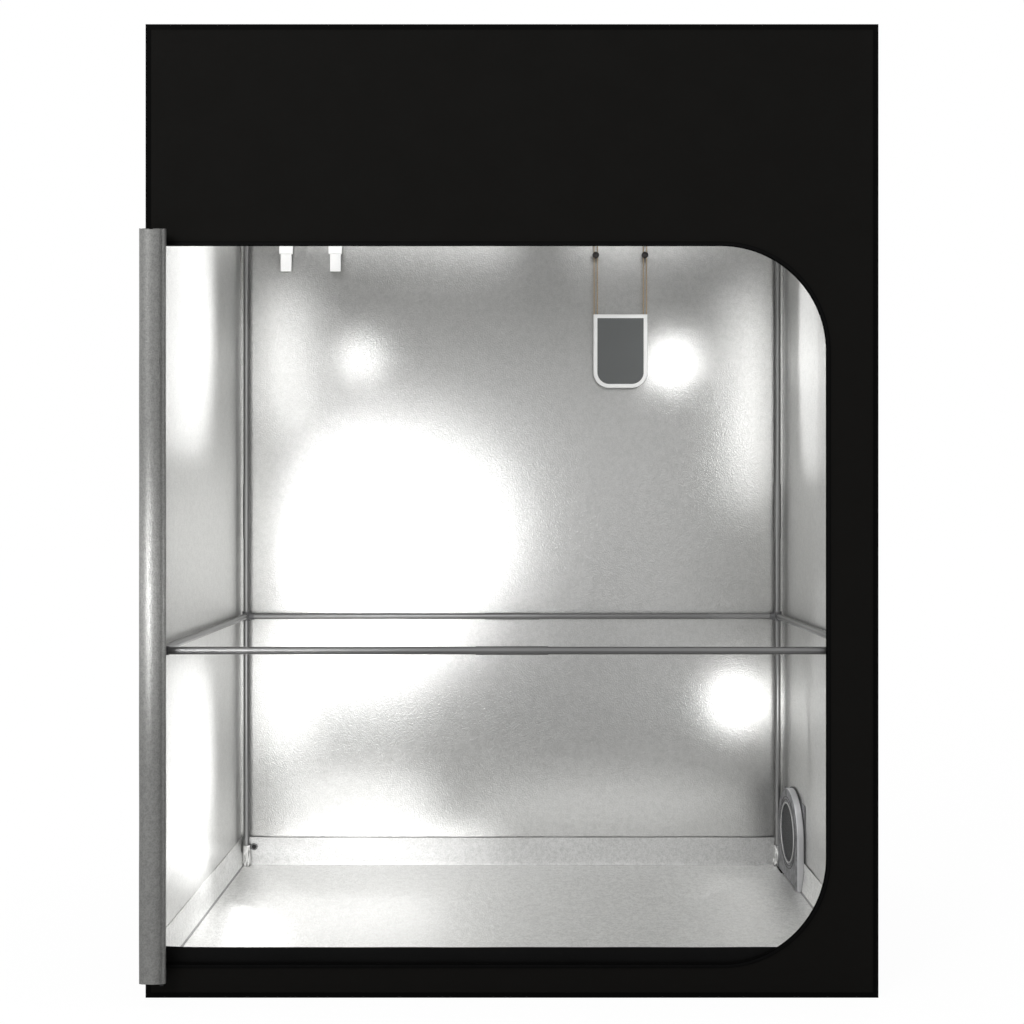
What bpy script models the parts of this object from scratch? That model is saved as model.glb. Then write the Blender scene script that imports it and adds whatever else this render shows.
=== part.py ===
"""Indoor grow tent: a cloth cover with a rolled-up door over a frame of steel tubes.

Metres, +Z up. The origin is the middle of the floor, and the front faces -Y.
"""
import math

import bmesh
import bpy
from mathutils import Matrix, Vector

# Cover, outside sizes
WIDTH = 1.505
DEPTH = 0.905
HEIGHT = 2.000
CLOTH = 0.0015
SEAM_GAP = 0.0003
CUT_OVERRUN = 0.010

# Door opening in the front panel
DOOR_LEFT_BORDER = 0.025
DOOR_RIGHT_BORDER = 0.1072
DOOR_SILL = 0.0702
DOOR_HEADER = 0.4554
DOOR_CORNER_RADIUS = 0.2158

# Zip round the opening
ZIP_WIDTH = 0.009
ZIP_TAPE = 0.0016
ZIP_CHAIN_WIDTH = 0.004
ZIP_CHAIN_HEIGHT = 0.0012
SLIDER_LENGTH = 0.016
SLIDER_WIDTH = 0.012
SLIDER_WALL = 0.0014
SLIDER_NOSE = 0.003
PULL_WIDTH = 0.007
PULL_LENGTH = 0.034
PULL_THICKNESS = 0.0014

# Frame tubes and their joint sleeves
TUBE_RADIUS = 0.008
TUBE_BORE_RADIUS = 0.0068
FRAME_INSET = 0.0205
SLEEVE_LENGTH = 0.150
SLEEVE_CLEARANCE = 0.00025
SLEEVE_WALL = 0.00085
POST_JOINT_HEIGHT = 1.000

# Corner connectors
HUB_INNER_REACH = 0.0115
HUB_ROUNDING = 0.0045
SPIGOT_RADIUS = 0.0065
SPIGOT_LENGTH = 0.045
SPIGOT_TIP = 0.002

# Clamps of the mid ring
RING_HEIGHT = 0.711
CLAMP_CLEARANCE = 0.0003
CLAMP_WALL = 0.0026
CLAMP_HEIGHT = 0.026
CLAMP_COLLAR_RADIUS = 0.0095
CLAMP_COLLAR_REACH = 0.022

# Roof cross bars
ROOF_BAR_LEFT_INSET = 0.4525
ROOF_BAR_RIGHT_INSET = 0.2525
HOOK_CLEARANCE = 0.0004
HOOK_THICKNESS = 0.0024
HOOK_WIDTH = 0.006
HOOK_DROP = 0.006

# Floor tray
TRAY_WALL_INSET = 0.0100
TRAY_WALL_TOP = 0.098
TRAY_NOTCH = 0.032
TRAY_NOTCH_FLARE = 0.020
TRAY_RISE_RUN = 0.040
TRAY_VENT_GAP = 0.002

# Air intake in the right wall
INTAKE_BACK_INSET = 0.150
INTAKE_HEIGHT = 0.148
INTAKE_MOUTH_RADIUS = 0.074
INTAKE_OUTER_RADIUS = 0.116
INTAKE_DEPTH = 0.022
INTAKE_ROUNDING = 0.004
INTAKE_BEAD = 0.0025
INTAKE_DISH = 0.002
INTAKE_PATCH_HALF_WIDTH = 0.1185
INTAKE_PATCH_HALF_HEIGHT = 0.097
INTAKE_PATCH = 0.0012
INTAKE_FOOT_SETBACK = 0.0012
INTAKE_FOOT_GAP = 0.001
PORT_LIP = 0.0015
SCREEN_PITCH = 0.016
SCREEN_BAR = 0.003

# Exhaust sleeve in the roof
EXHAUST_OFFSET_X = 0.100
EXHAUST_OFFSET_Y = 0.100
EXHAUST_RADIUS = 0.0765
EXHAUST_LENGTH = 0.200
EXHAUST_FLANGE = 0.016
EXHAUST_CUFF_HEIGHT = 0.022
EXHAUST_CUFF_SWELL = 0.004
EXHAUST_CUFF_SETBACK = 0.030

# Rolled door
ROLL_OFFSET = 0.0029
ROLL_STANDOFF = 0.036
ROLL_RADIUS = 0.026
ROLL_OVERLAP = 0.028
ROLL_PITCH = 0.0034
ROLL_TURNS = 4.5
ROLL_FLARE = 0.0022
ROLL_FLARE_LENGTH = 0.070
ROLL_FLAP_MARGIN = 0.068
ROLL_SEAM_STANDOFF = 0.00105

# Hanging straps and keepers
STRAP_INSET = 0.130
STRAP_SPACING = 0.1358
STRAP_WIDTH = 0.0295
STRAP_THICKNESS = 0.0014
STRAP_BAR_CLEARANCE = 0.0004
STRAP_LAYER_GAP = 0.0004
STRAP_CLOSING = 0.070
STRAP_LENGTH = 0.3185
KEEPER_WIDTH = 0.037
KEEPER_HEIGHT = 0.032
KEEPER_WALL = 0.0022
KEEPER_CLEARANCE = 0.0003
KEEPER_DROP = 0.2705
KEEPER_ROUNDING = 0.0008
KEEPER_GROOVE_HEIGHT = 0.003
KEEPER_GROOVE_DEPTH = 0.001
KEEPER_GROOVE_RISE = 0.008

# Pouch, its cords and cord locks
POUCH_INSET = 0.4539
POUCH_WIDTH = 0.148
POUCH_DROP = 0.4375
POUCH_LENGTH = 0.202
POUCH_CORNER_RADIUS = 0.043
POUCH_THICKNESS = 0.012
POUCH_WALL = 0.0015
POUCH_BINDING = 0.011
POUCH_BINDING_STEP = 0.0008
POUCH_POCKET_MARGIN = 0.014
CORD_RADIUS = 0.0015
CORD_EDGE_INSET = 0.0062
LOCK_DROP = 0.2735
LOCK_RADIUS = 0.0095
LOCK_SLOT_HALF_LENGTH = 0.0063
LOCK_SLOT_HALF_WIDTH = 0.0018

TUBE_SIDES = 16
ROUND_SIDES = 36
ARC_STEPS = 10

# Places that follow from the sizes above
HALF_W = WIDTH / 2
HALF_D = DEPTH / 2
FRONT_Y = -HALF_D
POST_X = HALF_W - FRAME_INSET
POST_Y = HALF_D - FRAME_INSET
TOP_BAR_Z = HEIGHT - FRAME_INSET
DOOR_TOP = HEIGHT - DOOR_HEADER
DOOR_LEFT = -HALF_W + DOOR_LEFT_BORDER
DOOR_RIGHT = HALF_W - DOOR_RIGHT_BORDER
HUB_OUTER_REACH = FRAME_INSET - CLOTH - SEAM_GAP
INNER_SKIN_X = HALF_W - CLOTH - SEAM_GAP
SOCKET_RADIUS = TUBE_RADIUS + SLEEVE_CLEARANCE
SLEEVE_RADIUS = SOCKET_RADIUS + SLEEVE_WALL
LOW_BAR_Z = CLOTH + SEAM_GAP + SLEEVE_RADIUS + SEAM_GAP
ROLL_TOP = DOOR_TOP + ROLL_OVERLAP
ROLL_BOTTOM = DOOR_SILL - ROLL_OVERLAP
INTAKE_Y = HALF_D - INTAKE_BACK_INSET
TRAY_RIM = LOW_BAR_Z + SLEEVE_RADIUS + SEAM_GAP + CLOTH / 2
INTAKE_FOOT = TRAY_RIM + CLOTH / 2 + INTAKE_FOOT_GAP
STRAP_LEFT_X = STRAP_INSET - HALF_W
STRAP_RIGHT_X = STRAP_LEFT_X + STRAP_SPACING
POUCH_X = HALF_W - POUCH_INSET
POUCH_TOP = TOP_BAR_Z - POUCH_DROP
POUCH_BOTTOM = POUCH_TOP - POUCH_LENGTH


def clear_scene():
    for item in list(bpy.data.objects):
        bpy.data.objects.remove(item, do_unlink=True)


def finish(name, colour, roughness, metallic):
    """One Principled material for one sub-part."""
    made = bpy.data.materials.new(name)
    made.use_nodes = True
    shader = made.node_tree.nodes["Principled BSDF"]
    shader.inputs["Base Color"].default_value = (*colour, 1.0)
    shader.inputs["Roughness"].default_value = roughness
    shader.inputs["Metallic"].default_value = metallic
    return made


def add_object(name, shape, place=(0, 0, 0), turn=(0, 0, 0)):
    """Put a finished bmesh into the scene as one object."""
    bmesh.ops.recalc_face_normals(shape, faces=shape.faces)
    mesh = bpy.data.meshes.new(name)
    shape.to_mesh(mesh)
    shape.free()
    made = bpy.data.objects.new(name, mesh)
    made.location = place
    made.rotation_euler = turn
    bpy.context.collection.objects.link(made)
    return made


def dress(part, look, smooth_angle=math.radians(35)):
    part.data.materials.clear()
    part.data.materials.append(look)
    part.data.shade_smooth()
    part.data.set_sharp_from_angle(angle=smooth_angle)
    return part


def combine(part, tool, operation):
    """Apply one exact Boolean and remove the tool object."""
    step = part.modifiers.new(operation.lower(), "BOOLEAN")
    step.operation = operation
    step.solver = "EXACT"
    step.object = tool
    bpy.context.view_layer.update()
    state = part.evaluated_get(bpy.context.evaluated_depsgraph_get())
    result = bpy.data.meshes.new_from_object(state)
    part.modifiers.clear()
    part.data = result
    bpy.data.objects.remove(tool, do_unlink=True)
    return part


def cut(part, tool):
    return combine(part, tool, "DIFFERENCE")


def fuse(part, tool):
    return combine(part, tool, "UNION")


def carry(child, parent):
    """Parent a piece and keep its place, both being unturned."""
    child.parent = parent
    child.location = Vector(child.location) - Vector(parent.location)


def block(name, low, high, rounding=0, segments=2, place=(0, 0, 0)):
    """A box between two corners, its edges rounded if asked."""
    shape = bmesh.new()
    bmesh.ops.create_cube(shape, size=1)
    size = Vector(high) - Vector(low)
    middle = (Vector(high) + Vector(low)) / 2
    bmesh.ops.scale(shape, vec=size, verts=shape.verts)
    bmesh.ops.translate(shape, vec=middle, verts=shape.verts)
    if rounding:
        bmesh.ops.bevel(shape, geom=shape.edges[:], offset=rounding, segments=segments,
                        profile=0.5, affect="EDGES", clamp_overlap=True)
    return add_object(name, shape, place)


def prism(name, outline, axis, low, high, place=(0, 0, 0)):
    """Extrude a flat outline along X, Y or Z. Outline pairs are YZ, XZ or XY."""
    spread = {
        "X": lambda a, b: (low, a, b),
        "Y": lambda a, b: (a, low, b),
        "Z": lambda a, b: (a, b, low),
    }[axis]
    along = {"X": (1, 0, 0), "Y": (0, 1, 0), "Z": (0, 0, 1)}[axis]
    shape = bmesh.new()
    face = shape.faces.new([shape.verts.new(spread(a, b)) for a, b in outline])
    grown = bmesh.ops.extrude_face_region(shape, geom=[face])
    moved = [item for item in grown["geom"] if isinstance(item, bmesh.types.BMVert)]
    bmesh.ops.translate(shape, vec=Vector(along) * (high - low), verts=moved)
    return add_object(name, shape, place)


def turned(name, profile, sides, place=(0, 0, 0), turn=(0, 0, 0)):
    """Spin a closed profile of radius and height pairs about its own Z axis."""
    shape = bmesh.new()
    points = [shape.verts.new((radius, 0, height)) for radius, height in profile]
    edges = [shape.edges.new((points[i - 1], points[i])) for i in range(len(points))]
    bmesh.ops.spin(shape, geom=points + edges, cent=(0, 0, 0), axis=(0, 0, 1),
                   angle=math.tau, steps=sides, use_merge=True)
    bmesh.ops.remove_doubles(shape, verts=shape.verts, dist=SEAM_GAP / sides)
    return add_object(name, shape, place, turn)


def rod(name, radius, low, high, sides, place=(0, 0, 0), turn=(0, 0, 0)):
    """A closed round bar along its own Z axis."""
    shape = bmesh.new()
    middle = Matrix.Translation((0, 0, (low + high) / 2))
    bmesh.ops.create_cone(shape, cap_ends=True, segments=sides, radius1=radius, radius2=radius,
                          depth=high - low, matrix=middle)
    return add_object(name, shape, place, turn)


def swept(name, stations, place=(0, 0, 0)):
    """Bridge equal closed rings of points into one capped body."""
    shape = bmesh.new()
    rings = []
    for station in stations:
        verts = [shape.verts.new(point) for point in station]
        rings.append([shape.edges.new((verts[i - 1], verts[i])) for i in range(len(verts))])
    for first, second in zip(rings, rings[1:]):
        bmesh.ops.bridge_loops(shape, edges=first + second)
    for ring in (rings[0], rings[-1]):
        bmesh.ops.contextual_create(shape, geom=ring)
    return add_object(name, shape, place)


def arc(centre_a, centre_b, radius, start, end, steps=ARC_STEPS):
    """Points on an arc, both ends included. Angles are in degrees."""
    points = []
    for i in range(steps + 1):
        angle = math.radians(start + (end - start) * i / steps)
        points.append((centre_a + radius * math.cos(angle), centre_b + radius * math.sin(angle)))
    return points


def door_path(offset=0):
    """Edge of the opening from its upper left end, round the right, to its lower left end."""
    radius = DOOR_CORNER_RADIUS + offset
    corner_x = DOOR_RIGHT - DOOR_CORNER_RADIUS
    upper = arc(corner_x, DOOR_TOP - DOOR_CORNER_RADIUS, radius, 90, 0)
    lower = arc(corner_x, DOOR_SILL + DOOR_CORNER_RADIUS, radius, 0, -90)
    return [(DOOR_LEFT, DOOR_TOP + offset), *upper, *lower, (DOOR_LEFT, DOOR_SILL - offset)]


# Cover

def cover_panels():
    """Six cloth panels. The front and back stand outside the side walls, roof and floor."""
    black = finish("cover_cloth", (0.009, 0.0085, 0.0075), 0.62, 0.0)
    side_y = HALF_D - CLOTH - SEAM_GAP
    side_x = HALF_W - CLOTH
    inner_x = side_x - SEAM_GAP
    front = block("front_panel", (-HALF_W, FRONT_Y, 0), (HALF_W, FRONT_Y + CLOTH, HEIGHT))
    cut(front, prism("door_cutter", door_path(), "Y", FRONT_Y - CUT_OVERRUN, FRONT_Y + CUT_OVERRUN))
    back = block("back_wall", (-HALF_W, HALF_D - CLOTH, 0), (HALF_W, HALF_D, HEIGHT))
    left = block("left_wall", (-HALF_W, -side_y, 0), (-side_x, side_y, HEIGHT))
    right = block("right_wall", (side_x, -side_y, 0), (HALF_W, side_y, HEIGHT))
    port = INTAKE_MOUTH_RADIUS + PORT_LIP
    cut(right, rod("intake_cutter", port, -CUT_OVERRUN, CUT_OVERRUN, ROUND_SIDES,
                   (HALF_W, INTAKE_Y, INTAKE_HEIGHT), (0, math.pi / 2, 0)))
    floor = block("floor_panel", (-inner_x, -side_y, 0), (inner_x, side_y, CLOTH))
    roof = block("roof_panel", (-inner_x, -side_y, HEIGHT - CLOTH), (inner_x, side_y, HEIGHT))
    cut(roof, rod("exhaust_cutter", EXHAUST_RADIUS, -CUT_OVERRUN, CUT_OVERRUN, ROUND_SIDES,
                  (EXHAUST_OFFSET_X, EXHAUST_OFFSET_Y, HEIGHT)))
    for panel in (front, back, left, right, floor, roof):
        dress(panel, black)


def door_zip():
    """Tape with a raised chain, sewn on the front panel along three sides of the opening."""
    back_y = FRONT_Y - SEAM_GAP
    tape_y = back_y - ZIP_TAPE
    chain_y = tape_y - ZIP_CHAIN_HEIGHT
    chain_in = (ZIP_WIDTH - ZIP_CHAIN_WIDTH) / 2
    chain_out = (ZIP_WIDTH + ZIP_CHAIN_WIDTH) / 2
    section = [(0, back_y), (0, tape_y), (chain_in, tape_y), (chain_in, chain_y),
               (chain_out, chain_y), (chain_out, tape_y), (ZIP_WIDTH, tape_y), (ZIP_WIDTH, back_y)]
    lines = [[(x, y, z) for x, z in door_path(offset)] for offset, y in section]
    stations = [list(points) for points in zip(*lines)]
    dress(swept("door_zip", stations), finish("zip_tape", (0.003, 0.003, 0.003), 0.5, 0.0))


def zip_slider(name, centre_z):
    """Slider that straddles the chain, with its pull hanging below. Its origin is on the chain."""
    tape_y = -SEAM_GAP - ZIP_TAPE
    under_y = tape_y - SEAM_GAP
    chain_y = tape_y - ZIP_CHAIN_HEIGHT - SEAM_GAP
    face_y = chain_y - SLIDER_WALL
    half_l = SLIDER_LENGTH / 2
    half_w = SLIDER_WIDTH / 2
    channel = ZIP_CHAIN_WIDTH / 2 + SEAM_GAP
    place = (DOOR_LEFT + half_l + SEAM_GAP, FRONT_Y, centre_z)
    nose = half_w - SLIDER_NOSE
    outline = [(-half_l, -nose), (-half_l + SLIDER_NOSE, -half_w), (half_l - SLIDER_NOSE, -half_w),
               (half_l, -nose), (half_l, nose), (half_l - SLIDER_NOSE, half_w),
               (-half_l + SLIDER_NOSE, half_w), (-half_l, nose)]
    body = prism(name, outline, "Y", face_y, under_y, place)
    cut(body, block("channel_cutter", (-half_l - CUT_OVERRUN, chain_y, -channel),
                    (half_l + CUT_OVERRUN, under_y + CUT_OVERRUN, channel), place=place))
    half_pull = PULL_WIDTH / 2
    pull = block("pull_tool", (-half_pull, face_y, -half_w - PULL_LENGTH),
                 (half_pull, face_y + PULL_THICKNESS, -channel - SEAM_GAP), place=place)
    return fuse(body, pull)


def zip_sliders():
    look = finish("zip_slider_metal", (0.03, 0.03, 0.03), 0.35, 0.8)
    dress(zip_slider("zip_slider_upper", DOOR_TOP + ZIP_WIDTH / 2), look)
    dress(zip_slider("zip_slider_lower", DOOR_SILL - ZIP_WIDTH / 2), look)


def roll_outline(growth):
    """Section of the rolled door seen from above: seam, strip to the roll, then the spiral.

    growth widens the spiral a little, as the roll flares towards its ends.
    """
    seam = Vector((0, 0))
    centre = Vector((-ROLL_OFFSET, ROLL_SEAM_STANDOFF - ROLL_STANDOFF))
    outer = ROLL_RADIUS - CLOTH / 2 + growth
    away = seam - centre
    tangent = math.atan2(away.y, away.x) - math.acos(outer / away.length)
    steps_per_turn = 24
    count = round(ROLL_TURNS * steps_per_turn)
    path = [seam]
    for i in range(count + 1):
        turn = i / steps_per_turn
        radius = outer - ROLL_PITCH * turn
        angle = tangent - math.tau * turn
        path.append(centre + radius * Vector((math.cos(angle), math.sin(angle))))
    left, right = [], []
    for i, point in enumerate(path):
        ahead = path[min(i + 1, count + 1)] - path[max(i - 1, 0)]
        side = Vector((-ahead.y, ahead.x)).normalized() * (CLOTH / 2)
        left.append(point + side)
        right.append(point - side)
    least = min((path[i] - path[i + steps_per_turn]).length - CLOTH
                for i in range(1, count + 2 - steps_per_turn))
    return left + right[::-1], least


def door_roll():
    """The door wound into a loose roll, its origin on the seam it swings about."""
    slim, least = roll_outline(0)
    wide, wide_least = roll_outline(ROLL_FLARE)
    print("least gap between turns of the door roll:", round(min(least, wide_least), 6))
    levels = [(ROLL_BOTTOM, wide), (ROLL_BOTTOM + ROLL_FLARE_LENGTH, slim),
              (ROLL_TOP - ROLL_FLARE_LENGTH, slim), (ROLL_TOP, wide)]
    stations = [[(point.x, point.y, z) for point in outline] for z, outline in levels]
    hinge = (DOOR_LEFT, FRONT_Y - ROLL_SEAM_STANDOFF, 0)
    roll = swept("door_roll", stations, hinge)
    reach = ROLL_RADIUS - ROLL_STANDOFF + ROLL_SEAM_STANDOFF
    for low, high in ((ROLL_BOTTOM - CUT_OVERRUN, ROLL_BOTTOM + ROLL_FLAP_MARGIN),
                      (ROLL_TOP - ROLL_FLAP_MARGIN, ROLL_TOP + CUT_OVERRUN)):
        cut(roll, block("flap_cutter", (-ROLL_RADIUS - CUT_OVERRUN, reach + CLOTH, low),
                        (ROLL_RADIUS + CUT_OVERRUN, CUT_OVERRUN, high), place=hinge))
    dress(roll, finish("door_lining", (0.42, 0.42, 0.41), 0.4, 0.6))


def floor_tray():
    """Removable liner: a sheet that rises over the bottom bars and turns up into four walls."""
    wall_x = HALF_W - TRAY_WALL_INSET
    wall_y = HALF_D - TRAY_WALL_INSET
    half = CLOTH / 2
    low = CLOTH + SEAM_GAP + half
    rim = TRAY_RIM
    lines_x = [-wall_x, -wall_x + TRAY_NOTCH, -wall_x + TRAY_NOTCH + TRAY_RISE_RUN]
    lines_x += [-x for x in reversed(lines_x)]
    lines_y = [-wall_y, -wall_y + TRAY_NOTCH, -wall_y + TRAY_NOTCH + TRAY_RISE_RUN]
    lines_y += [-y for y in reversed(lines_y)]
    last = len(lines_x) - 1
    raised = (0, 1, last - 1, last)
    shape = bmesh.new()
    grid = {}
    for i, x in enumerate(lines_x):
        for j, y in enumerate(lines_y):
            if i in (0, last) and j in (0, last):
                continue
            height = rim if i in raised or j in raised else low
            grid[i, j] = shape.verts.new((x, y, height))
    for i in range(last):
        for j in range(last):
            corners = [(i, j), (i + 1, j), (i + 1, j + 1), (i, j + 1)]
            if all(corner in grid for corner in corners):
                shape.faces.new([grid[corner] for corner in corners])
    outer = []
    for edge in shape.edges:
        ends = [vert.co for vert in edge.verts]
        on_side = all(abs(abs(co.x) - wall_x) < half for co in ends)
        on_end = all(abs(abs(co.y) - wall_y) < half for co in ends)
        if on_side or on_end:
            outer.append(edge)
    grown = bmesh.ops.extrude_edge_only(shape, edges=outer)
    for vert in [item for item in grown["geom"] if isinstance(item, bmesh.types.BMVert)]:
        vert.co.z = TRAY_WALL_TOP
        along_y = abs(abs(vert.co.x) - wall_x) < half
        run, limit = (vert.co.y, wall_y) if along_y else (vert.co.x, wall_x)
        if abs(run) > limit - TRAY_NOTCH - half:
            shift = math.copysign(TRAY_NOTCH_FLARE, run)
            vert.co += Vector((0, shift, 0)) if along_y else Vector((shift, 0, 0))
    bmesh.ops.recalc_face_normals(shape, faces=shape.faces)
    tray = add_object("floor_tray", shape)
    skin = tray.modifiers.new("thickness", "SOLIDIFY")
    skin.thickness = CLOTH
    skin.offset = 0
    bpy.context.view_layer.update()
    state = tray.evaluated_get(bpy.context.evaluated_depsgraph_get())
    tray.data = bpy.data.meshes.new_from_object(state)
    tray.modifiers.clear()
    clear = INTAKE_OUTER_RADIUS + TRAY_VENT_GAP
    cut(tray, block("vent_cutter", (wall_x - TRAY_NOTCH / 2, INTAKE_Y - clear, INTAKE_FOOT - INTAKE_FOOT_GAP / 2),
                    (wall_x + TRAY_NOTCH / 2, wall_y - CLOTH, TRAY_WALL_TOP + CUT_OVERRUN)))
    dress(tray, finish("tray_lining", (0.5, 0.5, 0.49), 0.4, 0.6))


def intake():
    """Thick ring on a square foot and a base patch, and the screen across its mouth."""
    base = 0
    top = INTAKE_DEPTH
    mouth = INTAKE_MOUTH_RADIUS
    outer = INTAKE_OUTER_RADIUS
    edge = [(a, b) for a, b in arc(outer - INTAKE_ROUNDING, top - INTAKE_ROUNDING,
                                   INTAKE_ROUNDING, 0, 90, 3)]
    bead = arc(mouth + INTAKE_BEAD, top - INTAKE_BEAD, INTAKE_BEAD, 60, 180, 4)
    dish = [(mouth + INTAKE_BEAD * 3, top - INTAKE_DISH)]
    profile = [(mouth, base), (outer, base), *edge, *dish, *bead]
    place = (INNER_SKIN_X, INTAKE_Y, INTAKE_HEIGHT)
    facing_in = (0, -math.pi / 2, 0)
    ring = turned("intake_sleeve", profile, ROUND_SIDES, place, facing_in)
    patch_y = INTAKE_PATCH_HALF_WIDTH
    seat = (mouth + outer) / 2
    foot = block("foot_tool", (INNER_SKIN_X - top + INTAKE_FOOT_SETBACK, INTAKE_Y - outer, INTAKE_FOOT),
                 (INNER_SKIN_X, INTAKE_Y + outer, INTAKE_HEIGHT))
    patch = block("patch_tool", (INNER_SKIN_X - INTAKE_PATCH, INTAKE_Y - patch_y, INTAKE_FOOT),
                  (INNER_SKIN_X, INTAKE_Y + patch_y, INTAKE_HEIGHT + INTAKE_PATCH_HALF_HEIGHT))
    for piece in (foot, patch):
        cut(piece, rod("seat_cutter", seat, -CUT_OVERRUN, top + CUT_OVERRUN, ROUND_SIDES, place, facing_in))
        fuse(ring, piece)
    dress(ring, finish("intake_cloth", (0.34, 0.34, 0.35), 0.5, 0.3))

    screen_radius = mouth - SEAM_GAP
    screen_x = INNER_SKIN_X - top + INTAKE_BEAD
    screen = rod("intake_screen", screen_radius, 0, CLOTH, ROUND_SIDES,
                 (screen_x, INTAKE_Y, INTAKE_HEIGHT), (0, math.pi / 2, 0))
    half_hole = (SCREEN_PITCH - SCREEN_BAR) / 2
    reach = screen_radius - SCREEN_BAR
    count = int(reach / SCREEN_PITCH)
    holes = bmesh.new()
    for i in range(-count, count + 1):
        for j in range(-count, count + 1):
            y, z = i * SCREEN_PITCH, j * SCREEN_PITCH
            if math.hypot(abs(y) + half_hole, abs(z) + half_hole) > reach:
                continue
            made = bmesh.ops.create_cube(holes, size=1)
            size = (2 * CUT_OVERRUN, 2 * half_hole, 2 * half_hole)
            bmesh.ops.scale(holes, vec=size, verts=made["verts"])
            bmesh.ops.translate(holes, vec=(0, y, z), verts=made["verts"])
    cut(screen, add_object("mesh_cutter", holes, (screen_x, INTAKE_Y, INTAKE_HEIGHT)))
    dress(screen, finish("screen_mesh", (0.035, 0.036, 0.038), 0.7, 0.0))


def exhaust_sleeve():
    """Cloth duct that hangs inside from the roof, with a gathered cuff near its end."""
    radius = EXHAUST_RADIUS
    outer = radius + CLOTH
    cuff_low = EXHAUST_CUFF_SETBACK
    cuff_mid = cuff_low + EXHAUST_CUFF_HEIGHT / 2
    cuff_high = cuff_low + EXHAUST_CUFF_HEIGHT
    swell = outer + EXHAUST_CUFF_SWELL
    length = EXHAUST_LENGTH
    profile = [(radius, 0), (outer, 0), (outer, cuff_low), (swell, cuff_mid), (outer, cuff_high),
               (outer, length - CLOTH), (outer + EXHAUST_FLANGE, length - CLOTH),
               (outer + EXHAUST_FLANGE, length), (radius, length)]
    place = (EXHAUST_OFFSET_X, EXHAUST_OFFSET_Y, HEIGHT - CLOTH - SEAM_GAP - length)
    dress(turned("exhaust_sleeve", profile, ROUND_SIDES, place),
          finish("sleeve_cloth", (0.02, 0.02, 0.02), 0.6, 0.0))


# Frame

def steel():
    return bpy.data.materials.get("frame_steel") or finish("frame_steel", (0.30, 0.30, 0.31), 0.35, 0.8)


AXIS_TURNS = {"X": (0, math.pi / 2, 0), "Y": (-math.pi / 2, 0, 0), "Z": (0, 0, 0)}


def tube(name, axis, place, half_length, sleeve=False):
    """Hollow tube centred at place, with the bulge of its joint sleeve if it has one."""
    wide = SLEEVE_RADIUS
    half_sleeve = SLEEVE_LENGTH / 2
    outside = [(TUBE_RADIUS, -half_length)]
    if sleeve:
        outside += [(TUBE_RADIUS, -half_sleeve), (wide, -half_sleeve),
                    (wide, half_sleeve), (TUBE_RADIUS, half_sleeve)]
    outside += [(TUBE_RADIUS, half_length)]
    profile = [(TUBE_BORE_RADIUS, -half_length), *outside, (TUBE_BORE_RADIUS, half_length)]
    return dress(turned(name, profile, TUBE_SIDES, place, AXIS_TURNS[axis]), steel())


def hub_sign(value):
    return 1 if value > 0 else -1


def corner_connector(name, x, y, z):
    """Moulded three-way corner: a rounded block that carries the cover, and three spigots."""
    signs = (hub_sign(x), hub_sign(y), 1 if z > HEIGHT / 2 else -1)
    end_reach = min(z, HEIGHT - z) - CLOTH - SEAM_GAP
    reaches = (HUB_OUTER_REACH, HUB_OUTER_REACH, end_reach)
    low = [-reach if sign < 0 else -HUB_INNER_REACH for sign, reach in zip(signs, reaches)]
    high = [HUB_INNER_REACH if sign < 0 else reach for sign, reach in zip(signs, reaches)]
    hub = block(name, low, high, HUB_ROUNDING, 1, (x, y, z))
    turns = ((0, -signs[0] * math.pi / 2, 0), (signs[1] * math.pi / 2, 0, 0),
             (0, math.pi if signs[2] > 0 else 0, 0))
    for turn in turns:
        shape = bmesh.new()
        full = SPIGOT_LENGTH + HUB_INNER_REACH
        bmesh.ops.create_cone(shape, cap_ends=True, segments=TUBE_SIDES, radius1=SPIGOT_RADIUS,
                              radius2=SPIGOT_RADIUS, depth=full, matrix=Matrix.Translation((0, 0, full / 2)))
        tip = [edge for edge in shape.edges if all(vert.co.z > full - SPIGOT_TIP for vert in edge.verts)]
        bmesh.ops.bevel(shape, geom=tip, offset=SPIGOT_TIP, segments=1, affect="EDGES", profile=0.5)
        fuse(hub, add_object("spigot_tool", shape, (x, y, z), turn))
    return dress(hub, bpy.data.materials["connector_plastic"])


def ring_clamp(name, x, y):
    """Collar round a post with a spigot for the long bar and one for the short bar."""
    z = RING_HEIGHT
    inner = TUBE_RADIUS + CLAMP_CLEARANCE
    half_height = CLAMP_HEIGHT / 2
    collar = rod(name, inner + CLAMP_WALL, -half_height, half_height, TUBE_SIDES, (x, y, z))
    arm = [(0, 0), (CLAMP_COLLAR_RADIUS, 0), (CLAMP_COLLAR_RADIUS, CLAMP_COLLAR_REACH),
           (SPIGOT_RADIUS, CLAMP_COLLAR_REACH), (SPIGOT_RADIUS, CLAMP_COLLAR_REACH + SPIGOT_LENGTH),
           (0, CLAMP_COLLAR_REACH + SPIGOT_LENGTH)]
    for turn in ((0, -hub_sign(x) * math.pi / 2, 0), (hub_sign(y) * math.pi / 2, 0, 0)):
        fuse(collar, turned("arm_tool", arm, TUBE_SIDES, (x, y, z), turn))
    cut(collar, rod("post_cutter", inner, -CLAMP_HEIGHT, CLAMP_HEIGHT, TUBE_SIDES, (x, y, z)))
    return dress(collar, bpy.data.materials["connector_plastic"])


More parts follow.
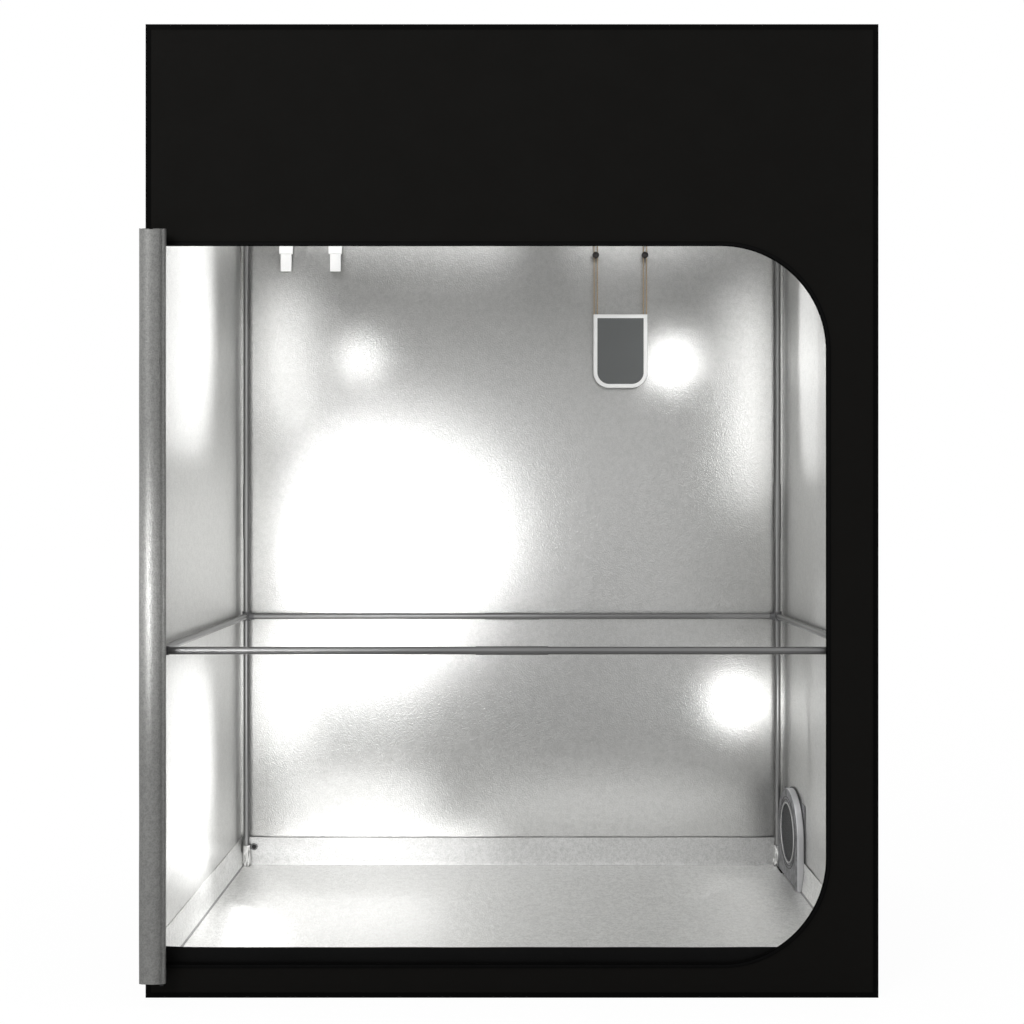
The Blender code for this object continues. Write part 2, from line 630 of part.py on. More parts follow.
def post_pair(corner, x, y):
    """A corner post in two halves. The lower half carries the sleeve that the upper one enters."""
    low = LOW_BAR_Z + HUB_INNER_REACH + SEAM_GAP
    high = TOP_BAR_Z - HUB_INNER_REACH - SEAM_GAP
    joint = POST_JOINT_HEIGHT
    half_sleeve = SLEEVE_LENGTH / 2
    socket = SOCKET_RADIUS
    wide = SLEEVE_RADIUS
    lower = [(TUBE_BORE_RADIUS, low), (TUBE_RADIUS, low), (TUBE_RADIUS, joint - half_sleeve),
             (wide, joint - half_sleeve), (wide, joint + half_sleeve), (socket, joint + half_sleeve),
             (socket, joint), (TUBE_BORE_RADIUS, joint)]
    upper = [(TUBE_BORE_RADIUS, joint + SEAM_GAP), (TUBE_RADIUS, joint + SEAM_GAP),
             (TUBE_RADIUS, high), (TUBE_BORE_RADIUS, high)]
    dress(turned(f"post_lower_{corner}", lower, TUBE_SIDES, (x, y, 0)), steel())
    dress(turned(f"post_upper_{corner}", upper, TUBE_SIDES, (x, y, 0)), steel())


def frame():
    """Four posts, three levels of bars and the connectors that join them."""
    finish("connector_plastic", (0.16, 0.16, 0.165), 0.45, 0.0)
    corners = {"front_left": (-POST_X, -POST_Y), "front_right": (POST_X, -POST_Y),
               "back_left": (-POST_X, POST_Y), "back_right": (POST_X, POST_Y)}
    for corner, (x, y) in corners.items():
        post_pair(corner, x, y)
        corner_connector(f"connector_bottom_{corner}", x, y, LOW_BAR_Z)
        corner_connector(f"connector_top_{corner}", x, y, TOP_BAR_Z)
        ring_clamp(f"ring_clamp_{corner}", x, y)
    levels = {"bottom": (LOW_BAR_Z, HUB_INNER_REACH), "ring": (RING_HEIGHT, CLAMP_COLLAR_REACH),
              "top": (TOP_BAR_Z, HUB_INNER_REACH)}
    for level, (z, reach) in levels.items():
        long_half = POST_X - reach - SEAM_GAP
        short_half = POST_Y - reach - SEAM_GAP
        tube(f"{level}_bar_front", "X", (0, -POST_Y, z), long_half, sleeve=True)
        tube(f"{level}_bar_back", "X", (0, POST_Y, z), long_half, sleeve=True)
        tube(f"{level}_bar_left", "Y", (-POST_X, 0, z), short_half)
        tube(f"{level}_bar_right", "Y", (POST_X, 0, z), short_half)


def roof_bar(name, x):
    """Cross bar whose flat hooks lie over the front and rear top bars."""
    inner = TUBE_RADIUS + HOOK_CLEARANCE
    outer = inner + HOOK_THICKNESS
    half_length = POST_Y - outer - HOOK_CLEARANCE
    bar = tube(name, "Y", (x, 0, TOP_BAR_Z), half_length)
    for side in (1, -1):
        centre = side * POST_Y
        outline = [(centre + side * b, a) for b, a in arc(0, 0, outer, 180, 0)]
        outline += [(centre + side * outer, -HOOK_DROP), (centre + side * inner, -HOOK_DROP)]
        outline += [(centre + side * b, a) for b, a in arc(0, 0, inner, 0, 180)]
        root = centre - side * inner
        tail = centre - side * (outer + HOOK_THICKNESS * 3)
        outline += [(root, -TUBE_BORE_RADIUS - HOOK_CLEARANCE), (tail, -TUBE_BORE_RADIUS - HOOK_CLEARANCE),
                    (tail, TUBE_BORE_RADIUS + HOOK_CLEARANCE), (centre - side * outer, TUBE_BORE_RADIUS + HOOK_CLEARANCE)]
        fuse(bar, prism("hook_tool", outline, "X", -HOOK_WIDTH / 2, HOOK_WIDTH / 2, (x, 0, TOP_BAR_Z)))
    dress(bar, steel())


# Things that hang on the rear top bar

def smooth_share(share):
    """Eased step from 0 to 1."""
    return share * share * (3 - 2 * share)


def hanging_strap(name, x):
    """Webbing laid over the bar, both layers closing together below it."""
    rise = TUBE_RADIUS + STRAP_BAR_CLEARANCE + STRAP_THICKNESS / 2
    close = (STRAP_THICKNESS + STRAP_LAYER_GAP) / 2
    steps = 6
    leg = [(rise + (close - rise) * smooth_share(i / steps), -STRAP_CLOSING * i / steps)
           for i in range(steps + 1)] + [(close, -STRAP_LENGTH)]
    over = [(y, z) for y, z in arc(0, 0, rise, 0, 180)]
    path = [Vector(point) for point in
            [*reversed(leg), *over[1:-1], *[(-y, z) for y, z in leg]]]
    half = STRAP_THICKNESS / 2
    stations = []
    for i, point in enumerate(path):
        ahead = path[min(i + 1, len(path) - 1)] - path[max(i - 1, 0)]
        side = Vector((-ahead.y, ahead.x)).normalized() * half
        one, two = point + side, point - side
        w = STRAP_WIDTH / 2
        stations.append([(-w, one.x, one.y), (w, one.x, one.y), (w, two.x, two.y), (-w, two.x, two.y)])
    strap = swept(name, stations, (x, POST_Y, TOP_BAR_Z))
    return dress(strap, bpy.data.materials["strap_webbing"])


def strap_keeper(name, x):
    """Flat moulded keeper round both layers of a strap, with a groove across its face."""
    slot_y = STRAP_THICKNESS + STRAP_LAYER_GAP / 2 + KEEPER_CLEARANCE
    slot_x = STRAP_WIDTH / 2 + KEEPER_CLEARANCE
    half_x = KEEPER_WIDTH / 2
    half_y = slot_y + KEEPER_WALL
    half_z = KEEPER_HEIGHT / 2
    place = (x, POST_Y, TOP_BAR_Z - KEEPER_DROP + half_z)
    keeper = block(name, (-half_x, -half_y, -half_z), (half_x, half_y, half_z), KEEPER_ROUNDING, 1, place)
    cut(keeper, block("slot_cutter", (-slot_x, -slot_y, -half_z - CUT_OVERRUN),
                      (slot_x, slot_y, half_z + CUT_OVERRUN), place=place))
    groove = -half_z + KEEPER_GROOVE_RISE
    cut(keeper, block("groove_cutter", (-slot_x, -half_y - CUT_OVERRUN, groove - KEEPER_GROOVE_HEIGHT / 2),
                      (slot_x, -half_y + KEEPER_GROOVE_DEPTH, groove + KEEPER_GROOVE_HEIGHT / 2), place=place))
    return dress(keeper, bpy.data.materials["keeper_plastic"])


def pouch_outline(inset):
    """Pouch seen from the front, about its own centre line: square above, round below."""
    half = POUCH_WIDTH / 2 - inset
    radius = POUCH_CORNER_RADIUS - inset
    low = POUCH_BOTTOM - TOP_BAR_Z + inset
    high = POUCH_TOP - TOP_BAR_Z - inset
    return [(-half, high), *arc(-half + radius, low + radius, radius, 180, 270),
            *arc(half - radius, low + radius, radius, 270, 360), (half, high)]


def pouch():
    """Flat pocket, open at the top, with a raised bound edge. Its origin is on the bar it swings about."""
    place = (POUCH_X, POST_Y, TOP_BAR_Z)
    half = POUCH_THICKNESS / 2
    bag = prism("pouch", pouch_outline(0), "Y", -half, half, place)
    cut(bag, prism("face_cutter", pouch_outline(POUCH_BINDING), "Y",
                   -half - CUT_OVERRUN, -half + POUCH_BINDING_STEP, place))
    wall = POUCH_WALL + POUCH_BINDING_STEP
    pocket = [(a, b) for a, b in pouch_outline(POUCH_POCKET_MARGIN)]
    top = POUCH_TOP - TOP_BAR_Z + CUT_OVERRUN
    pocket[0] = (pocket[0][0], top)
    pocket[-1] = (pocket[-1][0], top)
    cut(bag, prism("pocket_cutter", pocket, "Y", -half + wall, half - wall, place))
    dress(bag, finish("pouch_cloth", (0.1, 0.104, 0.106), 0.5, 0.0))
    return bag


# Half of a pouch cord's route, from the pouch up over the bar, as offsets in metres from the bar's axis
# at the cord's middle: across, towards the wall, and up. The other half mirrors it across the bar.
CORD_ROUTE = [(-0.0045, 0.0, -0.4372), (-0.0045, 0.0, -0.40), (-0.0045, 0.0, -0.35), (-0.0045, 0.0, -0.30),
              (-0.0045, 0.0, -0.25), (-0.0045, 0.0, -0.20), (-0.0045, 0.0, -0.15), (-0.0045, 0.0, -0.12),
              (-0.0045, -0.0012, -0.10), (-0.0044, -0.0040, -0.07), (-0.0041, -0.0078, -0.035),
              (-0.0036, -0.0097, -0.012), (-0.0030, -0.0099, 0.0), (-0.0022, -0.0070, 0.0070)]
CORD_CROWN = (0.0, 0.0, 0.0099)


def smooth_curve(points, per_span):
    """Points on a Catmull-Rom curve through the given ones."""
    ends = [points[0] * 2 - points[1], *points, points[-1] * 2 - points[-2]]
    made = [points[0]]
    for a, b, c, d in zip(ends, ends[1:], ends[2:], ends[3:]):
        for i in range(1, per_span + 1):
            t = i / per_span
            made.append(0.5 * (2 * b + (c - a) * t + (2 * a - 5 * b + 4 * c - d) * t * t
                               + (3 * b - a - 3 * c + d) * t * t * t))
    return made


def pouch_cord(name, x):
    half = [Vector(point) for point in CORD_ROUTE]
    route = [*half, Vector(CORD_CROWN), *[Vector((-p.x, -p.y, p.z)) for p in reversed(half)]]
    path = smooth_curve(route, 2)
    data = bpy.data.curves.new(name, "CURVE")
    data.dimensions = "3D"
    data.bevel_depth = CORD_RADIUS
    data.bevel_resolution = 2
    data.use_fill_caps = True
    data.render_resolution_u = 0
    line = data.splines.new("POLY")
    line.points.add(len(path) - 1)
    for knot, point in zip(line.points, path):
        knot.co = (*point, 1)
    data.materials.append(bpy.data.materials["cord_braid"])
    cord = bpy.data.objects.new(name, data)
    cord.location = (x, POST_Y, TOP_BAR_Z)
    bpy.context.collection.objects.link(cord)
    return cord


def cord_lock(name, x):
    """Barrel lock with one long hole through which both strands of a cord run."""
    place = (x, POST_Y, TOP_BAR_Z - LOCK_DROP)
    shape = bmesh.new()
    bmesh.ops.create_uvsphere(shape, u_segments=14, v_segments=9, radius=LOCK_RADIUS)
    lock = add_object(name, shape, place)
    straight = LOCK_SLOT_HALF_LENGTH - LOCK_SLOT_HALF_WIDTH
    slot = [*arc(straight, 0, LOCK_SLOT_HALF_WIDTH, -90, 90, 6),
            *arc(-straight, 0, LOCK_SLOT_HALF_WIDTH, 90, 270, 6)]
    reach = LOCK_RADIUS + CUT_OVERRUN
    cut(lock, prism("lock_cutter", slot, "Z", -reach, reach, place))
    return dress(lock, bpy.data.materials["lock_plastic"])


def hung_things():
    finish("strap_webbing", (0.9, 0.9, 0.9), 0.75, 0.0)
    finish("keeper_plastic", (0.85, 0.85, 0.85), 0.4, 0.0)
    finish("cord_braid", (0.43, 0.35, 0.24), 0.8, 0.0)
    finish("lock_plastic", (0.03, 0.025, 0.025), 0.4, 0.0)
    for side, x in (("left", STRAP_LEFT_X), ("right", STRAP_RIGHT_X)):
        strap = hanging_strap(f"hanging_strap_{side}", x)
        carry(strap_keeper(f"strap_keeper_{side}", x), strap)
    bag = pouch()
    reach = POUCH_WIDTH / 2 - CORD_EDGE_INSET
    for side, x in (("left", POUCH_X - reach), ("right", POUCH_X + reach)):
        carry(pouch_cord(f"pouch_cord_{side}", x), bag)
        carry(cord_lock(f"cord_lock_{side}", x), bag)


clear_scene()
cover_panels()
door_zip()
zip_sliders()
door_roll()
floor_tray()
intake()
exhaust_sleeve()
frame()
roof_bar("roof_bar_left", ROOF_BAR_LEFT_INSET - HALF_W)
roof_bar("roof_bar_right", HALF_W - ROOF_BAR_RIGHT_INSET)
hung_things()
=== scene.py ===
"""Looks of the indoor grow tent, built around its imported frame. Metres, +Z up, the door faces -Y."""
import math

import bpy
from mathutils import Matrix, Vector, noise


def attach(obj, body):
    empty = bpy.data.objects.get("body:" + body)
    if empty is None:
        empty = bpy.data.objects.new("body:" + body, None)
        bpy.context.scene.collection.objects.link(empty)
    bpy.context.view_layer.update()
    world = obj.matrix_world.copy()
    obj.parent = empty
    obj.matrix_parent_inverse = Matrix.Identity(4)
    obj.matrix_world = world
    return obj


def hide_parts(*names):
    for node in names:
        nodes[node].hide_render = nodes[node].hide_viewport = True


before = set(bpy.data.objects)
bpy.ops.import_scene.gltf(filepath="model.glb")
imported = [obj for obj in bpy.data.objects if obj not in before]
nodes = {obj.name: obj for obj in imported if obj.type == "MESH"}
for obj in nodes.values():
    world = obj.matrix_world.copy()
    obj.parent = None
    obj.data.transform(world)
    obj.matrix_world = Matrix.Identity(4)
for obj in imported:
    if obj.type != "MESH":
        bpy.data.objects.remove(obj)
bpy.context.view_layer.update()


# Camera. It stands square to the front, level with the middle of the tent, as the photograph's does.
# The lens gives the frame of 1024 pixels its 1262 pixels of focal length.
quarter = math.pi / 2


def put_in(operator, **settings):
    """Put in an object by one of Blender's operators, with nothing else selected, and hand it over."""
    bpy.ops.object.select_all(action="DESELECT")
    operator(**settings)
    return bpy.context.object


camera = put_in(bpy.ops.object.camera_add, location=(0.0, -3.0465, 0.998), rotation=(quarter, 0, 0))
camera.name = "photo_camera"
camera.data.sensor_width = 36.0
camera.data.lens = 44.38
camera.data.clip_end = 60.0
bpy.context.scene.camera = camera
bpy.context.scene.view_settings.view_transform = "Standard"


# Pouch cords. Each is one length of soft tan braid, 3 mm thick, that rises from a corner of the pouch,
# goes over the rear top bar and comes down again beside itself. A cord lock slides on both strands.
class Wire:
    """One value in a material. Arithmetic on it adds the Math nodes that work it out."""

    def __init__(self, tree, socket=None):
        self.tree = tree
        self.socket = socket

    def node(self, kind, settings=None, sockets=None, output=0):
        """Add a node: its settings first, then values or wires into its sockets."""
        made = self.tree.nodes.new(kind)
        for key, value in (settings or {}).items():
            setattr(made, key, value)
        for key, value in (sockets or {}).items():
            if isinstance(value, Wire):
                self.tree.links.new(value.socket, made.inputs[key])
            else:
                made.inputs[key].default_value = value
        return Wire(self.tree, made.outputs[output])

    def maths(self, operation, *values):
        """One Math node on this value and those that follow."""
        return self.node("ShaderNodeMath", {"operation": operation}, dict(enumerate((self, *values))))

    def __add__(self, other):
        return self.maths("ADD", other)

    def __sub__(self, other):
        return self.maths("SUBTRACT", other)

    def __rsub__(self, other):
        return self.maths("MULTIPLY", -1) + other

    def __mul__(self, other):
        return self.maths("MULTIPLY", other)

    def __gt__(self, other):
        return self.maths("GREATER_THAN", other)

    def __lt__(self, other):
        return self.maths("LESS_THAN", other)

    __radd__ = __add__
    __rmul__ = __mul__

    def wave(self, step):
        """Sine of the value, one period for each step."""
        return (self * (math.tau / step)).maths("SINE")

    def axes(self):
        """The X, Y and Z of a vector value."""
        return [self.node("ShaderNodeSeparateXYZ", None, {0: self}, i) for i in range(3)]

    def noise(self, size, detail=2.0, roughness=0.5):
        """Soft cloudy noise whose features are about that size."""
        return self.node("ShaderNodeTexNoise", None, {"Vector": self, "Scale": 1 / size, "Detail": detail,
                                                      "Roughness": roughness})

    def pebbles(self, size):
        """Distance from the middle of the nearest of many small cells, about 0 to 1."""
        return self.node("ShaderNodeTexVoronoi", None, {"Vector": self, "Scale": 1 / size})

    def ramp(self, low, high):
        """The value eased from 0 at low to 1 at high."""
        return self.node("ShaderNodeMapRange", {"interpolation_type": "SMOOTHSTEP"},
                         {0: self, 1: low, 2: high})

    def tint(self, low, high):
        """A colour between two others, by this value."""
        low, high = [shade if isinstance(shade, Wire) else (*shade, 1) for shade in (low, high)]
        return self.node("ShaderNodeMix", {"data_type": "RGBA"}, {0: self, 6: low, 7: high}, 2)


class Finish:
    """A Principled material whose sockets are set by name, with Object coordinates at hand."""

    def __init__(self, name, **settings):
        self.material = bpy.data.materials.new(name)
        self.material.use_nodes = True
        self.tree = self.material.node_tree
        self.shader = self.tree.nodes["Principled BSDF"]
        self.wire = Wire(self.tree)
        self.place = self.wire.node("ShaderNodeTexCoord", output=3)
        for key, value in settings.items():
            self.set(key.replace("_", " ").title().replace("Ior", "IOR"), value)

    def set(self, socket, value):
        """Give one socket of the shader a value, a colour or a wire."""
        if isinstance(value, Wire):
            self.tree.links.new(value.socket, self.shader.inputs[socket])
        else:
            self.shader.inputs[socket].default_value = (*value, 1) if isinstance(value, tuple) else value

    def bump(self, height, depth, strength=1.0):
        """Relief from a height value, that many metres deep where it runs from 0 to 1."""
        self.set("Normal", self.wire.node("ShaderNodeBump", None,
                                          {"Strength": strength, "Distance": depth, "Height": height}))

    def cloth_place(self):
        """Place on a piece's own UV map, where a pattern follows the cloth."""
        return self.wire.node("ShaderNodeTexCoord", output=2)


def only(piece):
    """Select one piece alone."""
    bpy.ops.object.select_all(action="DESELECT")
    piece.select_set(True)
    bpy.context.view_layer.objects.active = piece


def dress(piece, *finishes):
    """Give a piece these finishes in place of any that it has."""
    piece.data.materials.clear()
    for finish in finishes:
        piece.data.materials.append(finish.material)


def settle(piece, name, body, *finishes, stands_for=(), slot=None):
    """Name a finished piece, put its place in its mesh, dress it and let it ride on its body."""
    only(piece)
    bpy.ops.object.transform_apply(location=True, rotation=True, scale=True)
    piece.name = name
    if finishes:
        dress(piece, *finishes)
    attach(piece, body)
    if stands_for:
        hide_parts(*stands_for)


def smooth_curve(points, per_span):
    """Points on a Catmull-Rom curve through the given ones."""
    points = [Vector(point) for point in points]
    ends = [points[0] * 2 - points[1], *points, points[-1] * 2 - points[-2]]
    made = [points[0]]
    for a, b, c, d in zip(ends, ends[1:], ends[2:], ends[3:]):
        for i in range(1, per_span + 1):
            t = i / per_span
            made.append(0.5 * (2 * b + (c - a) * t + (2 * a - 5 * b + 4 * c - d) * t * t
                               + (3 * b - a - 3 * c + d) * t * t * t))
    return made


plait_step, plait_slant = 0.0032, 1.5
braid = Finish("cord_braid", roughness=0.8)
across, _, up = braid.place.axes()
plait = (up + across * plait_slant).wave(plait_step) * (up - across * plait_slant).wave(plait_step)
fibres = braid.place.noise(0.0012, 3)
shade = (plait * 0.3 + fibres).ramp(0.25, 0.75)
braid.set("Base Color", shade.tint((0.30, 0.22, 0.13), (0.68, 0.54, 0.37)))
braid.bump(plait, 0.0005, 0.8)

cord_radius = 0.0015
bar_y, bar_z = 0.432, 1.9795  # middle of the rear top bar, from which a cord's route is measured
route = [(-0.0045, 0.0, level) for level in (-0.4372, -0.40, -0.35, -0.30, -0.25, -0.20, -0.15, -0.12)]
route += [(-0.0045, -0.0012, -0.10), (-0.0044, -0.0040, -0.07), (-0.0041, -0.0078, -0.035),
          (-0.0036, -0.0097, -0.012), (-0.0030, -0.0099, 0.0), (-0.0022, -0.0070, 0.0070)]
route += [(0.0, 0.0, 0.0099)] + [(-x, -y, z) for x, y, z in reversed(route)]
for side, cord_x in (("left", 0.2308), ("right", 0.3664)):
    line = [point + Vector((cord_x, bar_y, bar_z)) for point in smooth_curve(route, 4)]
    cord = put_in(bpy.ops.curve.primitive_nurbs_path_add)
    strand = cord.data.splines[0]
    strand.type = "POLY"
    strand.points.add(len(line) - len(strand.points))
    for knot, place in zip(strand.points, line):
        knot.co = (*place, 1)
    cord.data.bevel_depth = cord_radius
    cord.data.bevel_resolution = 4
    cord.data.use_fill_caps = True
    settle(cord, f"braided_cord_{side}", "pouch", braid, stands_for=[f"pouch_cord_{side}"], slot="cord_braid")
    length = sum((b - a).length for a, b in zip(line, line[1:]))


# Cover. Six panels of black woven cloth with a silver lining laminated inside, sewn to each other along
# their edges under a bound seam and pulled tight over the frame.
half_w, half_d, height = 0.7525, 0.4525, 2.0
wide, deep = 2 * half_w, 2 * half_d
tuck = 0.0036  # what a panel is narrower by where it lies between two others
sag = 0.0035
open_left, open_right, open_low, open_high, open_radius = -0.7275, 0.6453, 0.0702, 1.5446, 0.2158
intake_y, intake_z = 0.3025, 0.148
exhaust_x, exhaust_y = 0.1, 0.1
cloth_thickness = 0.0012

thread_step = 0.0016
weave = Finish("cover_weave", base_color=(0.0052, 0.0048, 0.0041), roughness=0.55, specular_ior_level=0.07)
across, away, up = weave.place.axes()
threads = (across + away).wave(thread_step) * up.wave(thread_step)
weave.set("Roughness", weave.place.noise(0.09, 3).ramp(0.3, 0.7) * 0.06 + 0.53)
weave.bump(threads * 0.5 + weave.place.noise(0.35, 3) * 4, 0.0004, 0.6)


def foil_lining(name, dark, light, rough):
    """Silver film laminated on cloth, finely pebbled by the weave below it, under a clear gloss coat."""
    made = Finish(name, metallic=1.0, coat_weight=0.6, coat_roughness=rough + 0.02, coat_ior=1.7)
    pebble = made.place.pebbles(0.0034)
    crinkle = made.place.noise(0.012, 4, 0.65)
    shade = (pebble * 0.35 + crinkle * 0.65).ramp(0.25, 0.7)
    made.set("Base Color", shade.tint((dark, dark, dark * 0.98), (light, light, light * 0.98)))
    made.set("Roughness", crinkle.ramp(0.3, 0.7) * 0.04 + rough)
    made.bump(pebble * 0.9 + crinkle * 0.1, 0.0005, 0.8)
    return made


# Painted light: the side walls get a copy of the same silver lining in a lighter colour than the back wall
# and roof, as if more light fell on them.
lining = foil_lining("silver_lining", 0.41, 0.50, 0.28)
side_lining_painted_lighter = foil_lining("silver_lining_painted_lighter_on_sides", 0.52, 0.66, 0.40)

binding = Finish("seam_binding", base_color=(0.0012, 0.0012, 0.0011), roughness=0.6, specular_ior_level=0.05)
across, away, up = binding.place.axes()
binding.bump((across + away + up).wave(0.0018), 0.0003, 0.5)


def clamped(share):
    return max(0.0, min(1.0, share))


def slack(place, depth, seed):
    """How far a stretched panel sags at a place: long shallow waves, nearly none at its edges."""
    shift = Vector((seed * 3.1, seed * 1.7, seed * 2.3))
    broad = noise.noise(Vector(place) * 1.6 + shift)
    fine = noise.noise(Vector(place) * 5.0 + shift)
    return depth * (0.5 + 0.38 * broad + 0.16 * fine)


def apply_modifiers(piece):
    """Make a piece's modifiers part of its mesh."""
    only(piece)
    for step in list(piece.modifiers):
        bpy.ops.object.modifier_apply(modifier=step.name)


def thicken(cloth, thickness=cloth_thickness):
    """Give a sheet its thickness inwards. The new inner face takes the second finish."""
    skin = cloth.modifiers.new("thickness", "SOLIDIFY")
    skin.thickness = thickness
    skin.offset = -1
    skin.use_even_offset = True
    skin.material_offset = 1
    skin.material_offset_rim = 0
    apply_modifiers(cloth)


def panel(centre, size, turn, cells, depth, seed, inside=lining, port=None):
    """One panel as a grid of cloth, its outer face the way that turn points. It lies flat round a port."""
    cloth = put_in(bpy.ops.mesh.primitive_grid_add, x_subdivisions=cells[0], y_subdivisions=cells[1], size=1,
                   location=centre, rotation=turn)
    dress(cloth, weave, inside)
    cloth.scale = (*size, 1)
    bpy.ops.object.transform_apply(location=False, rotation=True, scale=True)
    outward = cloth.data.polygons[0].normal.copy()
    for vert in cloth.data.vertices:
        inset = [half - abs(value) for half, value in zip(Vector(cloth.dimensions) / 2, vert.co)]
        edge = min(value for value, length in zip(inset, cloth.dimensions) if length > 0.01)
        ease = min(1.0, edge / 0.10)
        if port:
            reach = (vert.co + cloth.location - Vector(port)).length
            ease *= clamped((reach - 0.19) / 0.16)
        vert.co -= outward * slack(vert.co + cloth.location, depth, seed) * ease * ease * (3 - 2 * ease)
    thicken(cloth)
    return cloth


panels = {
    "back_wall": panel((0, half_d, height / 2), (wide, height), (-quarter, 0, 0), (76, 100), sag, 1),
    "left_wall": panel((-half_w, 0, height / 2), (height, deep - tuck), (0, -quarter, 0), (100, 46), sag, 2,
                       side_lining_painted_lighter),
    "right_wall": panel((half_w, 0, height / 2), (height, deep - tuck), (0, quarter, 0), (100, 46), sag, 3,
                        side_lining_painted_lighter, (half_w, intake_y, 0.134)),
    "roof_panel": panel((0, 0, height), (wide - tuck, deep - tuck), (0, 0, 0), (76, 46), sag, 4,
                        lining, (exhaust_x, exhaust_y, height)),
    "floor_panel": panel((0, 0, 0), (wide - tuck, deep - tuck), (math.pi, 0, 0), (30, 18), 0.0, 5),
    "front_panel": panel((0, -half_d, height / 2), (wide, height), (quarter, 0, 0), (76, 100), 0.0014, 6),
}


def cut_out(piece, tool):
    """Cut a tool's shape out of a piece and take the tool away."""
    step = piece.modifiers.new("cut", "BOOLEAN")
    step.operation = "DIFFERENCE"
    step.solver = "EXACT"
    step.object = tool
    apply_modifiers(piece)
    bpy.data.objects.remove(tool, do_unlink=True)


def select_parts(piece, kind, picks):
    """Select the edges or faces of the active piece that picks says yes to, and stay in edit mode."""
    bpy.ops.object.mode_set(mode="EDIT")
    bpy.ops.mesh.select_mode(type=kind)
    bpy.ops.mesh.select_all(action="DESELECT")
    bpy.ops.object.mode_set(mode="OBJECT")
    for part in piece.data.edges if kind == "EDGE" else piece.data.polygons:
        part.select = picks(part)
    bpy.ops.object.mode_set(mode="EDIT")


def rounded_block(low, high, radius, picks, segments=28):
    """A block between two corners with some edges rounded. picks tells by an edge's middle and direction."""
    low, high = Vector(low), Vector(high)
    made = put_in(bpy.ops.mesh.primitive_cube_add, size=1, location=(low + high) / 2)
    made.scale = high - low
    bpy.ops.object.transform_apply(location=True, rotation=False, scale=True)

    def is_rounded(edge):
        a, b = [made.data.vertices[i].co for i in edge.vertices]
        return picks((a + b) / 2, (b - a).normalized())

    select_parts(made, "EDGE", is_rounded)
    bpy.ops.mesh.bevel(offset=radius, offset_type="OFFSET", segments=segments, affect="EDGES")
    bpy.ops.mesh.remove_doubles(threshold=0.00001)
    bpy.ops.object.mode_set(mode="OBJECT")
    return made


def door_block(grow, overrun, low_y, high_y):
    """The shape of the door opening as a solid, its right corners round, grown alike on three sides."""
    return rounded_block((open_left - overrun, low_y, open_low - grow),
                         (open_right + grow, high_y, open_high + grow), open_radius + grow,
                         lambda middle, along: abs(along.y) > 0.9 and middle.x > 0)


cut_out(panels["front_panel"], door_block(0, 0, -0.49, -0.42))
for name, radius, place, turn in (("right_wall", 0.0755, (half_w, intake_y, intake_z), (0, quarter, 0)),
                                  ("roof_panel", 0.0765, (exhaust_x, exhaust_y, height), (0, 0, 0))):
    cut_out(panels[name], put_in(bpy.ops.mesh.primitive_cylinder_add, vertices=72, radius=radius,
                                 depth=0.06, location=place, rotation=turn))

for name, cloth in panels.items():
    settle(cloth, f"cloth_{name}", "tent", stands_for=[name], slot="cover_cloth")

strip, sunk = 0.021, 0.0014  # twice the width of the binding, and twice its depth under the face
seams = put_in(bpy.ops.mesh.primitive_cube_add, size=1, location=(0, 0, height / 2 + 0.0001))
seams.scale = (wide + 0.0008, deep + 0.0008, height + 0.0004)
for tool_size in ((wide - sunk, deep - sunk, height - sunk), (2, deep - strip, height - strip),
                  (wide - strip, 2, height - strip), (wide - strip, deep - strip, 3)):
    tool = put_in(bpy.ops.mesh.primitive_cube_add, size=1, location=(0, 0, height / 2))
    tool.scale = tool_size
    cut_out(seams, tool)
settle(seams, "bound_seams", "tent", binding, slot="cover_cloth")


# Door zip. A black tape sewn round three sides of the opening, with a chain of moulded teeth along its
# middle. Two sliders run on it and are parked behind the rolled door.
def door_distance(x, z):
    """Distance along the edge of the opening from its upper left, round the right, to a place near it."""
    centre_x, high_z, low_z = open_right - open_radius, open_high - open_radius, open_low + open_radius
    straight = centre_x - open_left
    corner = open_radius * math.pi / 2
    round_both = 2 * corner + high_z - low_z
    if x <= centre_x:
        return x - open_left if z > 0.8 else 2 * straight + round_both - (x - open_left)
    if z > high_z:
        return straight + open_radius * math.atan2(x - centre_x, z - high_z)
    if z < low_z:
        return straight + round_both - open_radius * math.atan2(x - centre_x, low_z - z)
    return straight + corner + high_z - z


def map_along_door(piece):
    """Give a piece round the opening a UV map that runs along it, in metres."""
    flat = piece.data.uv_layers[0]
    for face in piece.data.polygons:
        for corner in face.loop_indices:
            place = piece.data.vertices[piece.data.loops[corner].vertex_index].co
            flat.data[corner].uv = (door_distance(place.x, place.z), place.y)


zip_tape = Finish("zip_tape", base_color=(0.0018, 0.0018, 0.0018), roughness=0.7, specular_ior_level=0.05)
run = zip_tape.cloth_place().axes()[0]
zip_tape.bump(run.wave(0.0012), 0.0002, 0.5)
zip_teeth = Finish("zip_teeth", base_color=(0.0022, 0.0022, 0.0023), roughness=0.5, specular_ior_level=0.08)
run = zip_teeth.cloth_place().axes()[0]
zip_teeth.bump(run.wave(0.0026).ramp(-0.3, 0.3), 0.0008, 1.0)

tape = door_block(0.009, 0, -0.4544, -0.4528)
cut_out(tape, door_block(0, 0.01, -0.46, -0.45))
teeth = door_block(0.0065, 0, -0.4556, -0.4543)
cut_out(teeth, door_block(0.0025, 0.01, -0.46, -0.45))
for strip_of_zip in (tape, teeth):
    map_along_door(strip_of_zip)
settle(tape, "door_zip_tape", "tent", zip_tape, stands_for=["door_zip"], slot="zip_tape")
settle(teeth, "door_zip_teeth", "tent", zip_teeth, slot="zip_tape")

